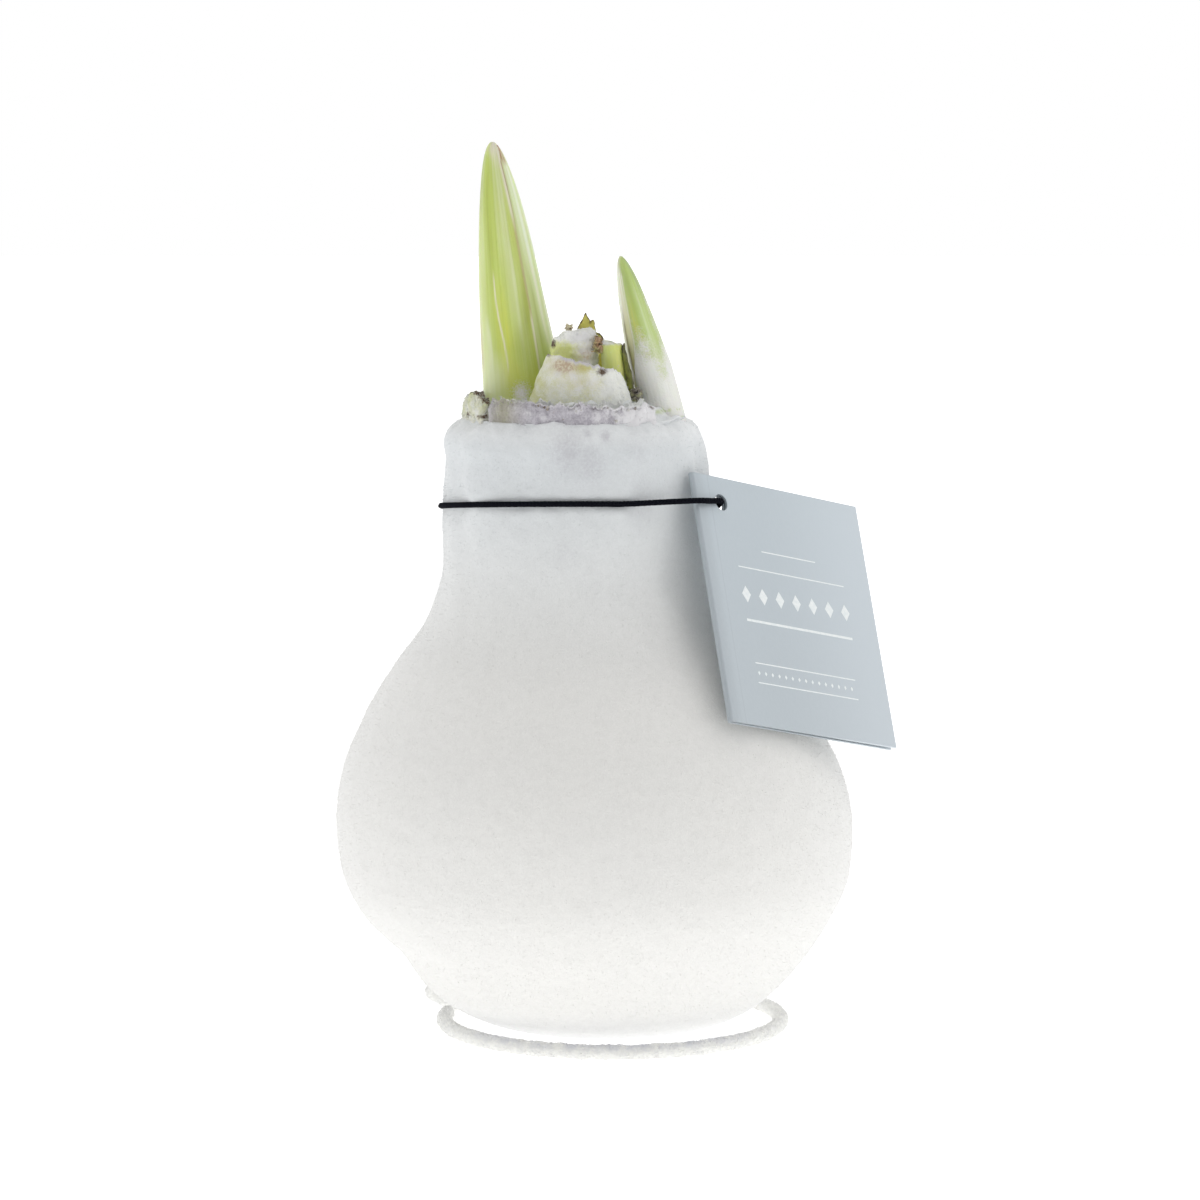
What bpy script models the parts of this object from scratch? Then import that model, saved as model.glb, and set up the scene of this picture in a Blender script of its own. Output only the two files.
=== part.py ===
"""Coated amaryllis bulb with two young shoots, a folded tag on a neck cord and a wire ring stand.

Frame: X to the right of the shown side, Y away from it, Z up. The origin lies on the surface that
the bulb stands on, under the middle of the flat spot of its base. Driving dimensions are in
millimetres and degrees, and MM turns millimetres into metres.
"""

import math

import bmesh
import bpy
from mathutils import Euler, Matrix, Vector, noise

MM = 0.001
CLEARANCE = 0.3
MERGE_DISTANCE = 0.00001
SMOOTH_BELOW = 40.0

# Bulb: half outline from the lip of the coat down to the flat spot, as (radius, height)
BULB_SIDE = (
    (20.0, 108.6), (20.8, 108.0), (21.8, 106.4), (22.5, 104.0), (22.8, 101.4), (23.2, 98.6),
    (23.5, 95.0), (23.65, 90.0), (23.8, 85.0), (24.5, 80.0), (27.9, 72.3), (33.8, 64.4),
    (39.1, 56.4), (43.2, 48.4), (45.1, 41.5), (45.5, 35.0), (44.5, 27.0), (41.2, 20.0),
    (37.1, 14.2), (32.6, 9.2), (27.5, 4.9), (22.0, 2.2), (17.0, 1.1), (13.8, 0.5), (11.0, 0.0),
)
WIDEST_HEIGHT = 35.0
CROWN = ((0.0, 107.7), (9.0, 107.5), (16.5, 107.2), (19.4, 107.5))
CROWN_TOP = 107.7
BULB_SEGMENTS = 44
RING_SPACING = 5.5
LEAN_AT_TOP = -5.6
LEAN_POWER = 0.8
# Swellings and dents of the coat, as (direction, height, rise, spread in height)
COAT_BUMPS = ((184.0, 13.6, -2.3, 3.4), (300.0, 30.0, 0.5, 8.0), (60.0, 50.0, 0.5, 8.0))
BUMP_WIDTH = 26.0
UNEVENNESS = 0.35
UNEVEN_SCALE = 28.0
# The coat is even below the first height and above the second, with these fading lengths
EVEN_BELOW, EVEN_ABOVE = 6.0, 84.0
FADE_LOW, FADE_HIGH = 10.0, 14.0

# Neck: everything in it stands in plain holes and slots of the crown
NECK_X = LEAN_AT_TOP
SEAT_BOTTOM = 100.0
SLOT_TOP = 109.4
SCALE_RADIUS = 18.6
SCALE_THICKNESS = 1.3
FLESHY_THICKNESS = 2.2

# Large shoot, leaning left, and small shoot, leaning left as well
LARGE_TIP = Vector((-20.0, 4.4, 156.2))
LARGE_LEAN = Vector((0.128, 0.025))
LARGE_HALF_WIDTHS = (7.4, 4.7)
LARGE_TAPER_LENGTH = 44.0
LARGE_OPENING = 0.0
LARGE_HALF_OPENING = 60.0
SMALL_TIP = Vector((2.6, 1.0, 136.0))
SMALL_LEAN = Vector((0.268, 0.01))
SMALL_HALF_WIDTHS = (3.7, 6.0)
SMALL_TAPER_LENGTH = 19.0
SMALL_OPENING = 180.0
SMALL_HALF_OPENING = 57.0
SHOOT_POWER = 0.48
SHEATH_THICKNESS = 1.3
SHEATH_MARGIN = 0.75
HOOD_LENGTH = 2.6
HOOD_GAP = 0.8
INNER_TIP_LENGTH = 4.0
# The outer leaf's margins stand this share of their full angle apart under the hood
MARGINS_AT_HOOD = 0.35
MARGINS_CLOSE_OVER = 12.0
CAVITY_OVERSHOOT = 2.5
SHOOT_SIDES = 20
SHOOT_RINGS = 12

# Cut leaf stubs at the middle of the neck
STUB_WALL = 1.4
OUTER_STUB = Vector((-4.15, -2.6, 0.0))
OUTER_STUB_BEND = 110.0
OUTER_STUB_TOP = 119.4
MIDDLE_STUB = Vector((-5.75, -0.6, 0.0))
MIDDLE_STUB_RADII = (4.1, 2.6)
MIDDLE_STUB_TOP = 123.4
INNER_STUB = Vector((0.85, -2.0, 0.0))
INNER_STUB_RADIUS = 1.9
INNER_STUB_TOP = 121.6
INNER_STUB_BORE = 1.1
STRIP_THICKNESS = 0.7
DRY_LEAF_Y = 3.6
DRY_LEAF_THICKNESS = 0.7
DRY_LEAF_OUTLINE = (
    (-5.3, SEAT_BOTTOM + CLEARANCE), (-0.8, SEAT_BOTTOM + CLEARANCE), (-0.5, 119.0),
    (-0.4, 121.4), (-1.1, 122.7), (-1.9, 122.9), (-2.3, 125.2), (-3.0, 124.9), (-3.7, 126.5),
    (-4.5, 124.8), (-5.2, 123.6), (-5.6, 119.0),
)

# Hang tag: a folded card, its fold on the left
TAG_WIDTH = 42.9
TAG_HEIGHT = 45.3
TAG_CORNER = Vector((14.6, -14.8, 100.05))
TAG_TURN = (-23.3, 12.0, 44.8)
TAG_LEAF = 0.45
TAG_GAP_AT_FOLD = 0.35
TAG_GAP_AT_EDGE = 0.8
TAG_HOLE = (6.45, -4.7)
TAG_HOLE_RADIUS = 1.5
TAG_DRILL_REACH = 5.0

# Elastic neck cord, an endless loop that passes once through the tag's hole
CORD_DIAMETER = 1.1
CORD_HEIGHT = 92.7
CORD_RISE_TO_FRONT = 0.108
CORD_SINK = 0.1
CORD_STEP = 8.5
CORD_LEAVES_NECK = 288.0
CORD_MEETS_NECK = -12.0
# The stretch over the fold and through the hole, in the tag's own frame
CORD_AT_TAG = (
    (-0.3, -0.95, -5.75), (3.0, -0.9, -5.3), (5.35, -0.75, -4.85), (6.5, 0.1, -4.7),
    (7.0, 1.2, -4.7), (7.4, 2.5, -4.8),
)

# Wire stand: a ring on the surface whose end rises behind the bulb and enters it as a prong
WIRE_DIAMETER = 2.8
WIRE_RING_RADIUS = 29.8
WIRE_RING_X = 1.0
WIRE_FREE_END = 168.0
WIRE_TURN = 342.0
WIRE_STEP = 9.0
PRONG_DIRECTION = 169.0
PRONG_MOUTH = (31.1, 5.8)
PRONG_END = (22.0, 13.2)
# Rise from the ring to the prong, as (radius, direction, height) round the bulb's base
WIRE_RISE = ((29.6, 156.5, 1.75), (30.5, 161.0, 2.8), (31.5, 165.5, 4.1), (31.9, 168.2, 5.0))


def lean(height):
    """Sideways place of the bulb's axis at a height."""
    return LEAN_AT_TOP * (max(height, 0.0) / BULB_SIDE[0][1]) ** LEAN_POWER


def direction(degrees):
    """Unit vector in the ground plane."""
    return Vector((math.cos(math.radians(degrees)), math.sin(math.radians(degrees)), 0.0))


def catmull_rom(a, b, c, d, t):
    """Point between b and c of the centripetal curve through four points."""
    knots = [0.0]
    for start, end in ((a, b), (b, c), (c, d)):
        knots.append(knots[-1] + math.sqrt(max((end - start).length, MERGE_DISTANCE)))
    t = knots[1] + t * (knots[2] - knots[1])
    ab = a.lerp(b, (t - knots[0]) / (knots[1] - knots[0]))
    bc = b.lerp(c, (t - knots[1]) / (knots[2] - knots[1]))
    cd = c.lerp(d, (t - knots[2]) / (knots[3] - knots[2]))
    abc = ab.lerp(bc, (t - knots[0]) / (knots[2] - knots[0]))
    bcd = bc.lerp(cd, (t - knots[1]) / (knots[3] - knots[1]))
    return abc.lerp(bcd, (t - knots[1]) / (knots[2] - knots[1]))


def smooth_path(points, spacing):
    """Points about one spacing apart on a smooth curve through the given ones."""
    path = [Vector(point) for point in points]
    ends = [path[0] * 2 - path[1]] + path + [path[-1] * 2 - path[-2]]
    result = []
    for index in range(len(path) - 1):
        a, b, c, d = ends[index:index + 4]
        steps = max(1, round((c - b).length / spacing))
        result += [catmull_rom(a, b, c, d, step / steps) for step in range(steps)]
    return result + [path[-1]]


def make_material(name, colour, roughness, metallic=0.0):
    """Principled material with the part's own colour."""
    material = bpy.data.materials.new(name)
    material.use_nodes = True
    shader = material.node_tree.nodes["Principled BSDF"]
    shader.inputs["Base Color"].default_value = (*colour, 1.0)
    shader.inputs["Roughness"].default_value = roughness
    shader.inputs["Metallic"].default_value = metallic
    return material


def add_object(name, data, collection, material=None):
    """Object with the given mesh or curve, linked to a collection."""
    obj = bpy.data.objects.new(name, data)
    collection.objects.link(obj)
    if material:
        data.materials.append(material)
    return obj


def smooth_shading(mesh):
    """Shade smooth between faces that meet at a low angle."""
    mesh.shade_smooth()
    mesh.set_sharp_from_angle(angle=math.radians(SMOOTH_BELOW))


def baked_mesh(obj):
    """Evaluated mesh of an object, with loose caps welded."""
    depsgraph = bpy.context.evaluated_depsgraph_get()
    mesh = bpy.data.meshes.new_from_object(obj.evaluated_get(depsgraph))
    body = bmesh.new()
    body.from_mesh(mesh)
    bmesh.ops.remove_doubles(body, verts=body.verts, dist=MERGE_DISTANCE)
    body.to_mesh(mesh)
    body.free()
    return mesh


def replace_by_mesh(obj, collection, material=None):
    """Swap a curve or modified object for the plain mesh that it makes, in the same place."""
    name, matrix, mesh = obj.name, obj.matrix_world.copy(), baked_mesh(obj)
    bpy.data.objects.remove(obj)
    mesh.name = name
    mesh.materials.clear()
    result = add_object(name, mesh, collection, material)
    result.matrix_world = matrix
    return result


def loft(name, rings, collection, material=None):
    """Closed body over rings of equal length, given in millimetres, with its two ends capped."""
    body = bmesh.new()
    rows = [[body.verts.new(point * MM) for point in ring] for ring in rings]
    for lower, upper in zip(rows, rows[1:]):
        for index in range(len(lower)):
            after = (index + 1) % len(lower)
            body.faces.new((lower[index], lower[after], upper[after], upper[index]))
    body.faces.new(reversed(rows[0]))
    body.faces.new(rows[-1])
    bmesh.ops.recalc_face_normals(body, faces=body.faces)
    mesh = bpy.data.meshes.new(name)
    body.to_mesh(mesh)
    body.free()
    smooth_shading(mesh)
    return add_object(name, mesh, collection, material)


def turned(name, outline, segments, collection, material=None):
    """Body turned about Z from an outline in millimetres that runs from its top to its bottom."""
    mesh = bpy.data.meshes.new(name)
    points = [(radius * MM, 0.0, height * MM) for radius, height in outline]
    mesh.from_pydata(points, [(index, index + 1) for index in range(len(points) - 1)], [])
    obj = add_object(name, mesh, collection)
    screw = obj.modifiers.new("turn", "SCREW")
    screw.steps = segments
    screw.render_steps = segments
    screw.use_merge_vertices = True
    screw.merge_threshold = MERGE_DISTANCE
    result = replace_by_mesh(obj, collection, material)
    smooth_shading(result.data)
    return result


def tube(name, points, diameter, collection, cyclic=False):
    """Round rod along a path in millimetres."""
    curve = bpy.data.curves.new(name, "CURVE")
    curve.dimensions = "3D"
    curve.bevel_depth = diameter / 2 * MM
    curve.bevel_resolution = 2
    curve.use_fill_caps = not cyclic
    spline = curve.splines.new("POLY")
    spline.points.add(len(points) - 1)
    for target, point in zip(spline.points, points):
        target.co = (*(point * MM), 1.0)
    spline.use_cyclic_u = cyclic
    return add_object(name, curve, collection)


def as_cutter(obj):
    """Mark an object as a guide that is not part of the model."""
    obj.hide_render = True
    obj.display_type = "WIRE"
    return obj


def cut(obj, cutters):
    """Take each cutter out of an object."""
    for cutter in cutters:
        modifier = obj.modifiers.new("cut " + cutter.name, "BOOLEAN")
        modifier.operation = "DIFFERENCE"
        modifier.solver = "EXACT"
        modifier.object = cutter


def coat_shift(angle, height):
    """How far the coat stands out from, or in from, the turned outline."""
    shift = 0.0
    for bump_angle, bump_height, rise, spread in COAT_BUMPS:
        turn = (angle - bump_angle + 180.0) % 360.0 - 180.0
        reach = (turn / BUMP_WIDTH) ** 2 + ((height - bump_height) / spread) ** 2
        shift += rise * math.exp(-reach / 2)
    fade = max(0.0, min(1.0, (height - EVEN_BELOW) / FADE_LOW, (EVEN_ABOVE - height) / FADE_HIGH))
    around = direction(angle) * UNEVEN_SCALE
    spot = Vector((around.x, around.y, height)) / UNEVEN_SCALE
    return shift * fade + UNEVENNESS * fade * noise.noise(spot)


def make_bulb(collection, material):
    """Bulb and its coat in one body, with the flat spot below and the crown of the neck on top."""
    side = [(point.x, point.y) for point in smooth_path(
        [Vector((radius, height)) for radius, height in BULB_SIDE], RING_SPACING)]
    outline = list(CROWN) + side + [(0.0, 0.0)]
    bulb = turned("bulb", outline, BULB_SEGMENTS, collection, material)
    for vertex in bulb.data.vertices:
        x, y, z = vertex.co / MM
        angle = math.degrees(math.atan2(y, x))
        shift = coat_shift(angle, z) if math.hypot(x, y) > BULB_SIDE[-1][0] else 0.0
        spot = Vector((x, y, z)) + direction(angle) * shift
        vertex.co = (spot + Vector((lean(z), 0.0, 0.0))) * MM
    return bulb


def arc_wall(name, shape, span, heights, top, thickness, collection, material=None, step=4.0):
    """Upright curved wall: shape gives its centre and half widths at a height, top its upper edge."""
    count = max(2, round(abs(span[1] - span[0]) / step))
    rings = []
    for index in range(count + 1):
        angle = span[0] + (span[1] - span[0]) * index / count
        levels = list(heights) + [top(angle)]
        section = []
        for side, run in ((0.5, levels), (-0.5, reversed(levels))):
            for height in run:
                centre, half_x, half_y = shape(height)
                around = direction(angle)
                offset = Vector((around.x * (half_x + side * thickness),
                                 around.y * (half_y + side * thickness), height))
                section.append(Vector((centre.x, centre.y, 0.0)) + offset)
        rings.append(section)
    return loft(name, rings, collection, material)


def slot_for_wall(name, shape, span, thickness, cutters):
    """Plain slot in the crown that a curved wall stands in."""
    _, half_x, _ = shape(SEAT_BOTTOM)
    extra = math.degrees(CLEARANCE / half_x)
    grown = (min(span) - extra, max(span) + extra)
    wall = arc_wall(name, shape, grown, (SEAT_BOTTOM - CLEARANCE,), lambda angle: SLOT_TOP,
                    thickness + 2 * CLEARANCE, cutters)
    return as_cutter(wall)


def neck_ring(radius, flare=0.0):
    """Round wall about the neck's middle whose upper part leans out or in."""
    def shape(height):
        grow = flare * max(0.0, height - CROWN_TOP)
        return Vector((NECK_X, 0.0, 0.0)), radius + grow, radius + grow
    return shape


def ragged(base, fall, depth, seed):
    """Torn upper edge: a sloping line with seeded teeth."""
    def top(angle):
        place = Vector((angle / 9.0, seed, 0.0))
        fine = Vector((angle / 3.1, seed + 5.0, 0.0))
        return base - fall * (angle + 90.0) / 90.0 + depth * (noise.noise(place)
                                                             + 0.6 * noise.noise(fine))
    return top


def make_neck_scales(collection, cutters, materials):
    """Torn dry scales round the neck, each standing in its own slot."""
    outer = neck_ring(SCALE_RADIUS, -0.03)
    middle = neck_ring(SCALE_RADIUS - 0.2, 0.05)
    inner = neck_ring(14.6, -0.02)

    def inner_top(angle):
        curl = max(0.0, (angle + 46.0) / 9.0)
        return ragged(111.7, 0.4, 0.5, 21.0)(angle) + 2.0 * min(1.0, curl)

    plans = (
        ("neck_scale_front", outer, (-122.5, -42.0), SCALE_THICKNESS, materials["paper"],
         ragged(111.8, 1.3, 0.9, 3.0), 2.6),
        ("neck_scale_left", middle, (-179.0, -125.5), FLESHY_THICKNESS, materials["fleshy"],
         ragged(113.2, 0.4, 0.9, 9.0), 3.6),
        ("neck_scale_back", outer, (44.0, 177.5), SCALE_THICKNESS, materials["paper"],
         ragged(111.6, 0.0, 1.1, 14.0), 3.2),
        ("neck_scale_inner", inner, (-150.0, -36.0), SCALE_THICKNESS, materials["fleshy"],
         inner_top, 4.0),
    )
    slots = []
    for name, shape, span, thickness, material, top, step in plans:
        arc_wall(name, shape, span, (SEAT_BOTTOM, CROWN_TOP + 0.6), top, thickness, collection,
                 material, step)
        slots.append(slot_for_wall(name + "_slot", shape, span, thickness, cutters))
    return slots


class Shoot:
    """Young shoot of one clasping outer leaf round one inner leaf."""

    def __init__(self, tip, slope, half_widths, taper_length, opening, half_opening):
        self.tip = tip
        self.slope = slope
        self.half_widths = half_widths
        self.taper_length = taper_length
        self.opening = opening
        self.half_opening = half_opening
        self.length = tip.z - SEAT_BOTTOM

    def centre(self, depth):
        """Middle of the shoot at a depth under its tip."""
        return Vector((self.tip.x + self.slope.x * depth, self.tip.y + self.slope.y * depth,
                       self.tip.z - depth))

    def scale(self, depth):
        """Share of the full width at a depth under the tip."""
        return min(1.0, max(depth, 0.0) / self.taper_length) ** SHOOT_POWER

    def ring(self, depth, spots):
        """Closed ring at a depth: spots are pairs of angle from the opening and inset."""
        centre, share = self.centre(depth), self.scale(depth)
        half_x, half_y = (width * share for width in self.half_widths)
        points = []
        for angle, inset in spots:
            around = direction(self.opening + angle)
            points.append(centre + Vector((around.x * max(half_x - inset, 0.12),
                                           around.y * max(half_y - inset, 0.12), 0.0)))
        return points

    def wall(self, depth, angle):
        """Thickness of the outer leaf, thinner towards its margins."""
        half = self.half_gap(depth)
        share = (abs(angle) - half) / (180.0 - half)
        full = SHEATH_MARGIN + (SHEATH_THICKNESS - SHEATH_MARGIN) * max(0.0, min(1.0, share))
        return min(full, 0.55 * min(self.half_widths) * self.scale(depth))

    def depths(self, first, last):
        """Depths from the last up to the first, closer together near the tip."""
        steps = [(index / SHOOT_RINGS) ** 2 for index in range(SHOOT_RINGS + 1)]
        return [first + (last - first) * step for step in reversed(steps)]

    def around(self):
        """Angles of a whole ring."""
        return [index * 360.0 / SHOOT_SIDES for index in range(SHOOT_SIDES)]

    def body_rings(self, extra=0.0, bottom=0.0):
        """Rings of the whole shoot, grown by a clearance where asked."""
        rings = []
        for depth in self.depths(0.1, self.length + bottom):
            rings.append(self.ring(depth, [(angle, -extra) for angle in self.around()]))
        return rings

    def half_gap(self, depth):
        """Half angle between the outer leaf's margins, which close towards the tip."""
        share = max(0.0, min(1.0, (depth - HOOD_LENGTH) / MARGINS_CLOSE_OVER))
        return self.half_opening * (MARGINS_AT_HOOD + (1.0 - MARGINS_AT_HOOD) * share ** 0.7)

    def gap_angle(self, depth):
        """Angle that keeps the inner leaf off the outer leaf's margin."""
        width = min(self.half_widths) * self.scale(depth)
        return math.degrees(math.asin(min(0.45, 1.5 * CLEARANCE / width)))

    def cavity_rings(self):
        """Rings of what the outer leaf is open for: its inside and the gap between its margins."""
        rings, sides = [], SHOOT_SIDES
        for depth in self.depths(HOOD_LENGTH, self.length + 1.0):
            half = self.half_gap(depth)
            closed = [half + (360.0 - 2 * half) * index / sides for index in range(sides + 1)]
            spots = [(angle, self.wall(depth, angle if angle <= 180.0 else 360.0 - angle))
                     for angle in closed]
            spots += [(half * turn, -CAVITY_OVERSHOOT) for turn in (-1.0, -0.5, 0.0, 0.5, 1.0)]
            rings.append(self.ring(depth, spots))
        return rings

    def inner_rings(self):
        """Rings of the inner leaf, which shows between the outer leaf's margins."""
        rings, sides = [], SHOOT_SIDES
        start = HOOD_LENGTH + HOOD_GAP
        for depth in self.depths(start + 0.05, self.length):
            share = min(1.0, (depth - start) / INNER_TIP_LENGTH) ** 0.5
            width = min(self.half_widths) * self.scale(depth)
            half = self.half_gap(depth)
            shrink = (1.0 - share) * 0.6 * width
            closed = [half + (360.0 - 2 * half) * index / sides for index in range(sides + 1)]
            spots = [(angle, self.wall(depth, angle if angle <= 180.0 else 360.0 - angle)
                      + CLEARANCE + shrink) for angle in closed]
            edge = half - self.gap_angle(depth)
            spots += [(edge * turn, shrink) for turn in (-1.0, -0.7, -0.35, 0.0, 0.35, 0.7, 1.0)]
            rings.append(self.ring(depth, spots))
        return rings


def make_shoot(name, shoot, collection, cutters, outer_material, inner_material):
    """Both leaves of a shoot and the hole that they stand in."""
    outer = loft(name + "_outer_leaf", shoot.body_rings(), collection, outer_material)
    cavity = as_cutter(loft(name + "_cavity", shoot.cavity_rings(), cutters))
    cut(outer, [cavity])
    loft(name + "_inner_leaf", shoot.inner_rings(), collection, inner_material)
    hole = shoot.body_rings(CLEARANCE, CLEARANCE)
    below = [ring for ring in hole if ring[0].z < SLOT_TOP + 9.0]
    return as_cutter(loft(name + "_hole", below, cutters))


def outer_stub_shape(height):
    """Broad stub that narrows upwards and stands open at the back."""
    rise = max(0.0, height - OUTER_STUB_BEND)
    return OUTER_STUB, 9.25 - 0.33 * rise, 8.5 - 0.18 * rise


def outer_stub_top(angle):
    """Upper edge of the broad stub, falling to the right and at both of its edges."""
    slope = max(0.0, min(1.0, (angle + 126.0) / 94.0))
    left_edge = max(0.0, (-156.0 - angle) / 14.0)
    right_edge = max(0.0, (angle + 34.0) / 10.0)
    return OUTER_STUB_TOP - 2.7 * slope - 1.5 * right_edge ** 1.5 - 0.9 * left_edge ** 2


def shape_stub_tops(obj, start, slope, stretch, shift):
    """Slant a turned stub's top, flatten it to an oval and put it in its place."""
    for vertex in obj.data.vertices:
        x, y, z = vertex.co / MM
        rise = max(0.0, z - start)
        z += slope * x * min(1.0, rise / 3.0)
        vertex.co = (Vector((x * stretch[0], y * stretch[1], z)) + shift) * MM


def make_stubs(collection, cutters, materials):
    """Cut and dried leaves at the middle of the neck, each in its own hole or slot."""
    span = (-170.0, -24.0)
    levels = (SEAT_BOTTOM, OUTER_STUB_BEND, OUTER_STUB_BEND + 3.0)
    arc_wall("leaf_stub_outer", outer_stub_shape, span, levels, outer_stub_top, STUB_WALL,
             collection, materials["stub"], 6.0)
    slots = [slot_for_wall("leaf_stub_outer_slot", outer_stub_shape, span, STUB_WALL, cutters)]

    radius, flat = MIDDLE_STUB_RADII
    stretch = (1.0, flat / radius)
    top, seat = MIDDLE_STUB_TOP, SEAT_BOTTOM
    outline = ((0.0, top), (radius * 0.6, top - 0.1), (radius * 0.9, top - 0.9),
               (radius, top - 2.6), (radius, 112.0), (radius, seat), (0.0, seat))
    middle = turned("leaf_stub_middle", outline, 20, collection, materials["stub"])
    shape_stub_tops(middle, 117.0, 0.3, stretch, MIDDLE_STUB)
    wide = radius + CLEARANCE
    hole = ((0.0, SLOT_TOP), (wide, SLOT_TOP), (wide, seat - CLEARANCE), (0.0, seat - CLEARANCE))
    middle_hole = as_cutter(turned("leaf_stub_middle_hole", hole, 20, cutters))
    shape_stub_tops(middle_hole, SLOT_TOP, 0.0, (1.0, (flat + CLEARANCE) / wide), MIDDLE_STUB)

    radius, top, bore = INNER_STUB_RADIUS, INNER_STUB_TOP, INNER_STUB_BORE
    outline = ((0.0, top - 6.0), (bore, top - 6.0), (bore, top - 0.2), (bore + 0.3, top),
               (radius - 0.25, top), (radius, top - 0.4), (radius, 112.0), (radius, seat),
               (0.0, seat))
    inner = turned("leaf_stub_inner", outline, 16, collection, materials["green"])
    shape_stub_tops(inner, 117.0, -0.25, (1.0, 1.0), INNER_STUB)
    wide = radius + CLEARANCE
    hole = ((0.0, SLOT_TOP), (wide, SLOT_TOP), (wide, seat - CLEARANCE), (0.0, seat - CLEARANCE))
    inner_hole = as_cutter(turned("leaf_stub_inner_hole", hole, 16, cutters))
    shape_stub_tops(inner_hole, SLOT_TOP, 0.0, (1.0, 1.0), INNER_STUB)

    strip_radius = radius + CLEARANCE + STRIP_THICKNESS / 2

    def strip_shape(height):
        rise = max(0.0, height - CROWN_TOP - 0.6)
        return INNER_STUB, strip_radius - 0.004 * rise, strip_radius

    span = (-62.0, -12.0)
    arc_wall("leaf_stub_strip", strip_shape, span, (SEAT_BOTTOM, CROWN_TOP + 0.6, 114.0),
             lambda angle: 121.2 - 0.0004 * angle ** 2, STRIP_THICKNESS, collection,
             materials["dry"], 14.0)
    slots.append(slot_for_wall("leaf_stub_strip_slot", strip_shape, span, STRIP_THICKNESS, cutters))
    return slots + [middle_hole, inner_hole, make_dry_leaf(collection, cutters, materials["dry"])]


def flat_outline(name, points, thickness, collection):
    """Plate cut to an outline in its own XY plane, centred on that plane."""
    curve = bpy.data.curves.new(name, "CURVE")
    curve.dimensions = "2D"
    curve.fill_mode = "BOTH"
    curve.extrude = thickness / 2 * MM
    spline = curve.splines.new("POLY")
    spline.points.add(len(points) - 1)
    for target, (x, y) in zip(spline.points, points):
        target.co = (x * MM, y * MM, 0.0, 1.0)
    spline.use_cyclic_u = True
    return add_object(name, curve, collection)


def make_dry_leaf(collection, cutters, material):
    """Dry leaf tip with a torn edge, standing behind the middle stub."""
    plate = flat_outline("dry_leaf_tip", DRY_LEAF_OUTLINE, DRY_LEAF_THICKNESS, collection)
    plate.rotation_euler = Euler((math.radians(90.0), 0.0, 0.0))
    plate.location = Vector((0.0, DRY_LEAF_Y, 0.0)) * MM
    bpy.context.view_layer.update()
    replace_by_mesh(plate, collection, material)
    left = min(x for x, _ in DRY_LEAF_OUTLINE) - CLEARANCE
    right = max(x for x, _ in DRY_LEAF_OUTLINE) + CLEARANCE
    half = DRY_LEAF_THICKNESS / 2 + CLEARANCE
    rings = [[Vector((left, DRY_LEAF_Y - half, z)), Vector((right, DRY_LEAF_Y - half, z)),
              Vector((right, DRY_LEAF_Y + half, z)), Vector((left, DRY_LEAF_Y + half, z))]
             for z in (SEAT_BOTTOM - CLEARANCE, SLOT_TOP)]
    return as_cutter(loft("dry_leaf_slot", rings, cutters))


def tag_matrix():
    """Place of the tag's upper fold corner, its front facing its own minus Y."""
    turn = Euler([math.radians(angle) for angle in TAG_TURN]).to_matrix().to_4x4()
    return Matrix.Translation(TAG_CORNER) @ turn


def make_tag(collection, cutters, material):
    """Folded card with one punched hole through both leaves."""
    half = TAG_LEAF + TAG_GAP_AT_FOLD / 2
    back = TAG_LEAF + TAG_GAP_AT_EDGE
    fold = [direction(angle) * half + Vector((half, half, 0.0)) for angle in range(105, 256, 30)]
    outline = [(half, 0.0), (TAG_WIDTH, 0.0), (TAG_WIDTH, TAG_LEAF), (half, TAG_LEAF),
               (half, TAG_LEAF + TAG_GAP_AT_FOLD), (TAG_WIDTH, back),
               (TAG_WIDTH, back + TAG_LEAF), (half, 2 * half)]
    outline += [(point.x, point.y) for point in fold]
    card = flat_outline("hang_tag", outline, TAG_HEIGHT, collection)
    lower = Matrix.Translation((0.0, 0.0, -TAG_HEIGHT / 2 * MM))
    place = Matrix.Translation(TAG_CORNER * MM) @ tag_matrix().to_3x3().to_4x4()
    card.matrix_world = place @ lower
    bpy.context.view_layer.update()
    card = replace_by_mesh(card, collection, material)
    reach = TAG_DRILL_REACH
    hole = turned("tag_hole", ((0.0, reach), (TAG_HOLE_RADIUS, reach), (TAG_HOLE_RADIUS, -reach),
                               (0.0, -reach)), 24, cutters)
    x, z = TAG_HOLE
    spot = Matrix.Translation(Vector((x, 0.0, z)) * MM)
    hole.matrix_world = place @ spot @ Euler((math.radians(90.0), 0.0, 0.0)).to_matrix().to_4x4()
    cut(card, [as_cutter(hole)])
    return card


def side_radius(height):
    """Radius of the turned outline at a height above its widest place."""
    side = [point for point in BULB_SIDE if point[1] >= WIDEST_HEIGHT]
    for (upper, high), (lower, low) in zip(side, side[1:]):
        if high >= height >= low:
            return upper + (lower - upper) * (high - height) / (high - low)
    return side[-1][0]


def neck_point(angle, sink):
    """Point just at the coat where the cord runs round the neck."""
    rise = -direction(angle).y * side_radius(CORD_HEIGHT) * CORD_RISE_TO_FRONT
    height = CORD_HEIGHT + rise
    spot = direction(angle) * (side_radius(height) + sink)
    return spot + Vector((lean(height), 0.0, height))


def cord_path():
    """Loop round the neck, over the tag's fold and down through its hole."""
    turn = CORD_LEAVES_NECK - CORD_MEETS_NECK
    count = round(turn / CORD_STEP)
    angles = [CORD_MEETS_NECK + turn * index / count for index in range(count + 1)]
    around = [neck_point(angle, CORD_SINK) for angle in angles]
    at_tag = [tag_matrix() @ Vector(point) for point in CORD_AT_TAG]
    bridge = smooth_path([around[-2], around[-1]] + at_tag + [around[0], around[1]], 1.6)
    first = bridge.index(around[-1])
    last = bridge.index(around[0])
    return around + bridge[first + 1:last]


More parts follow.
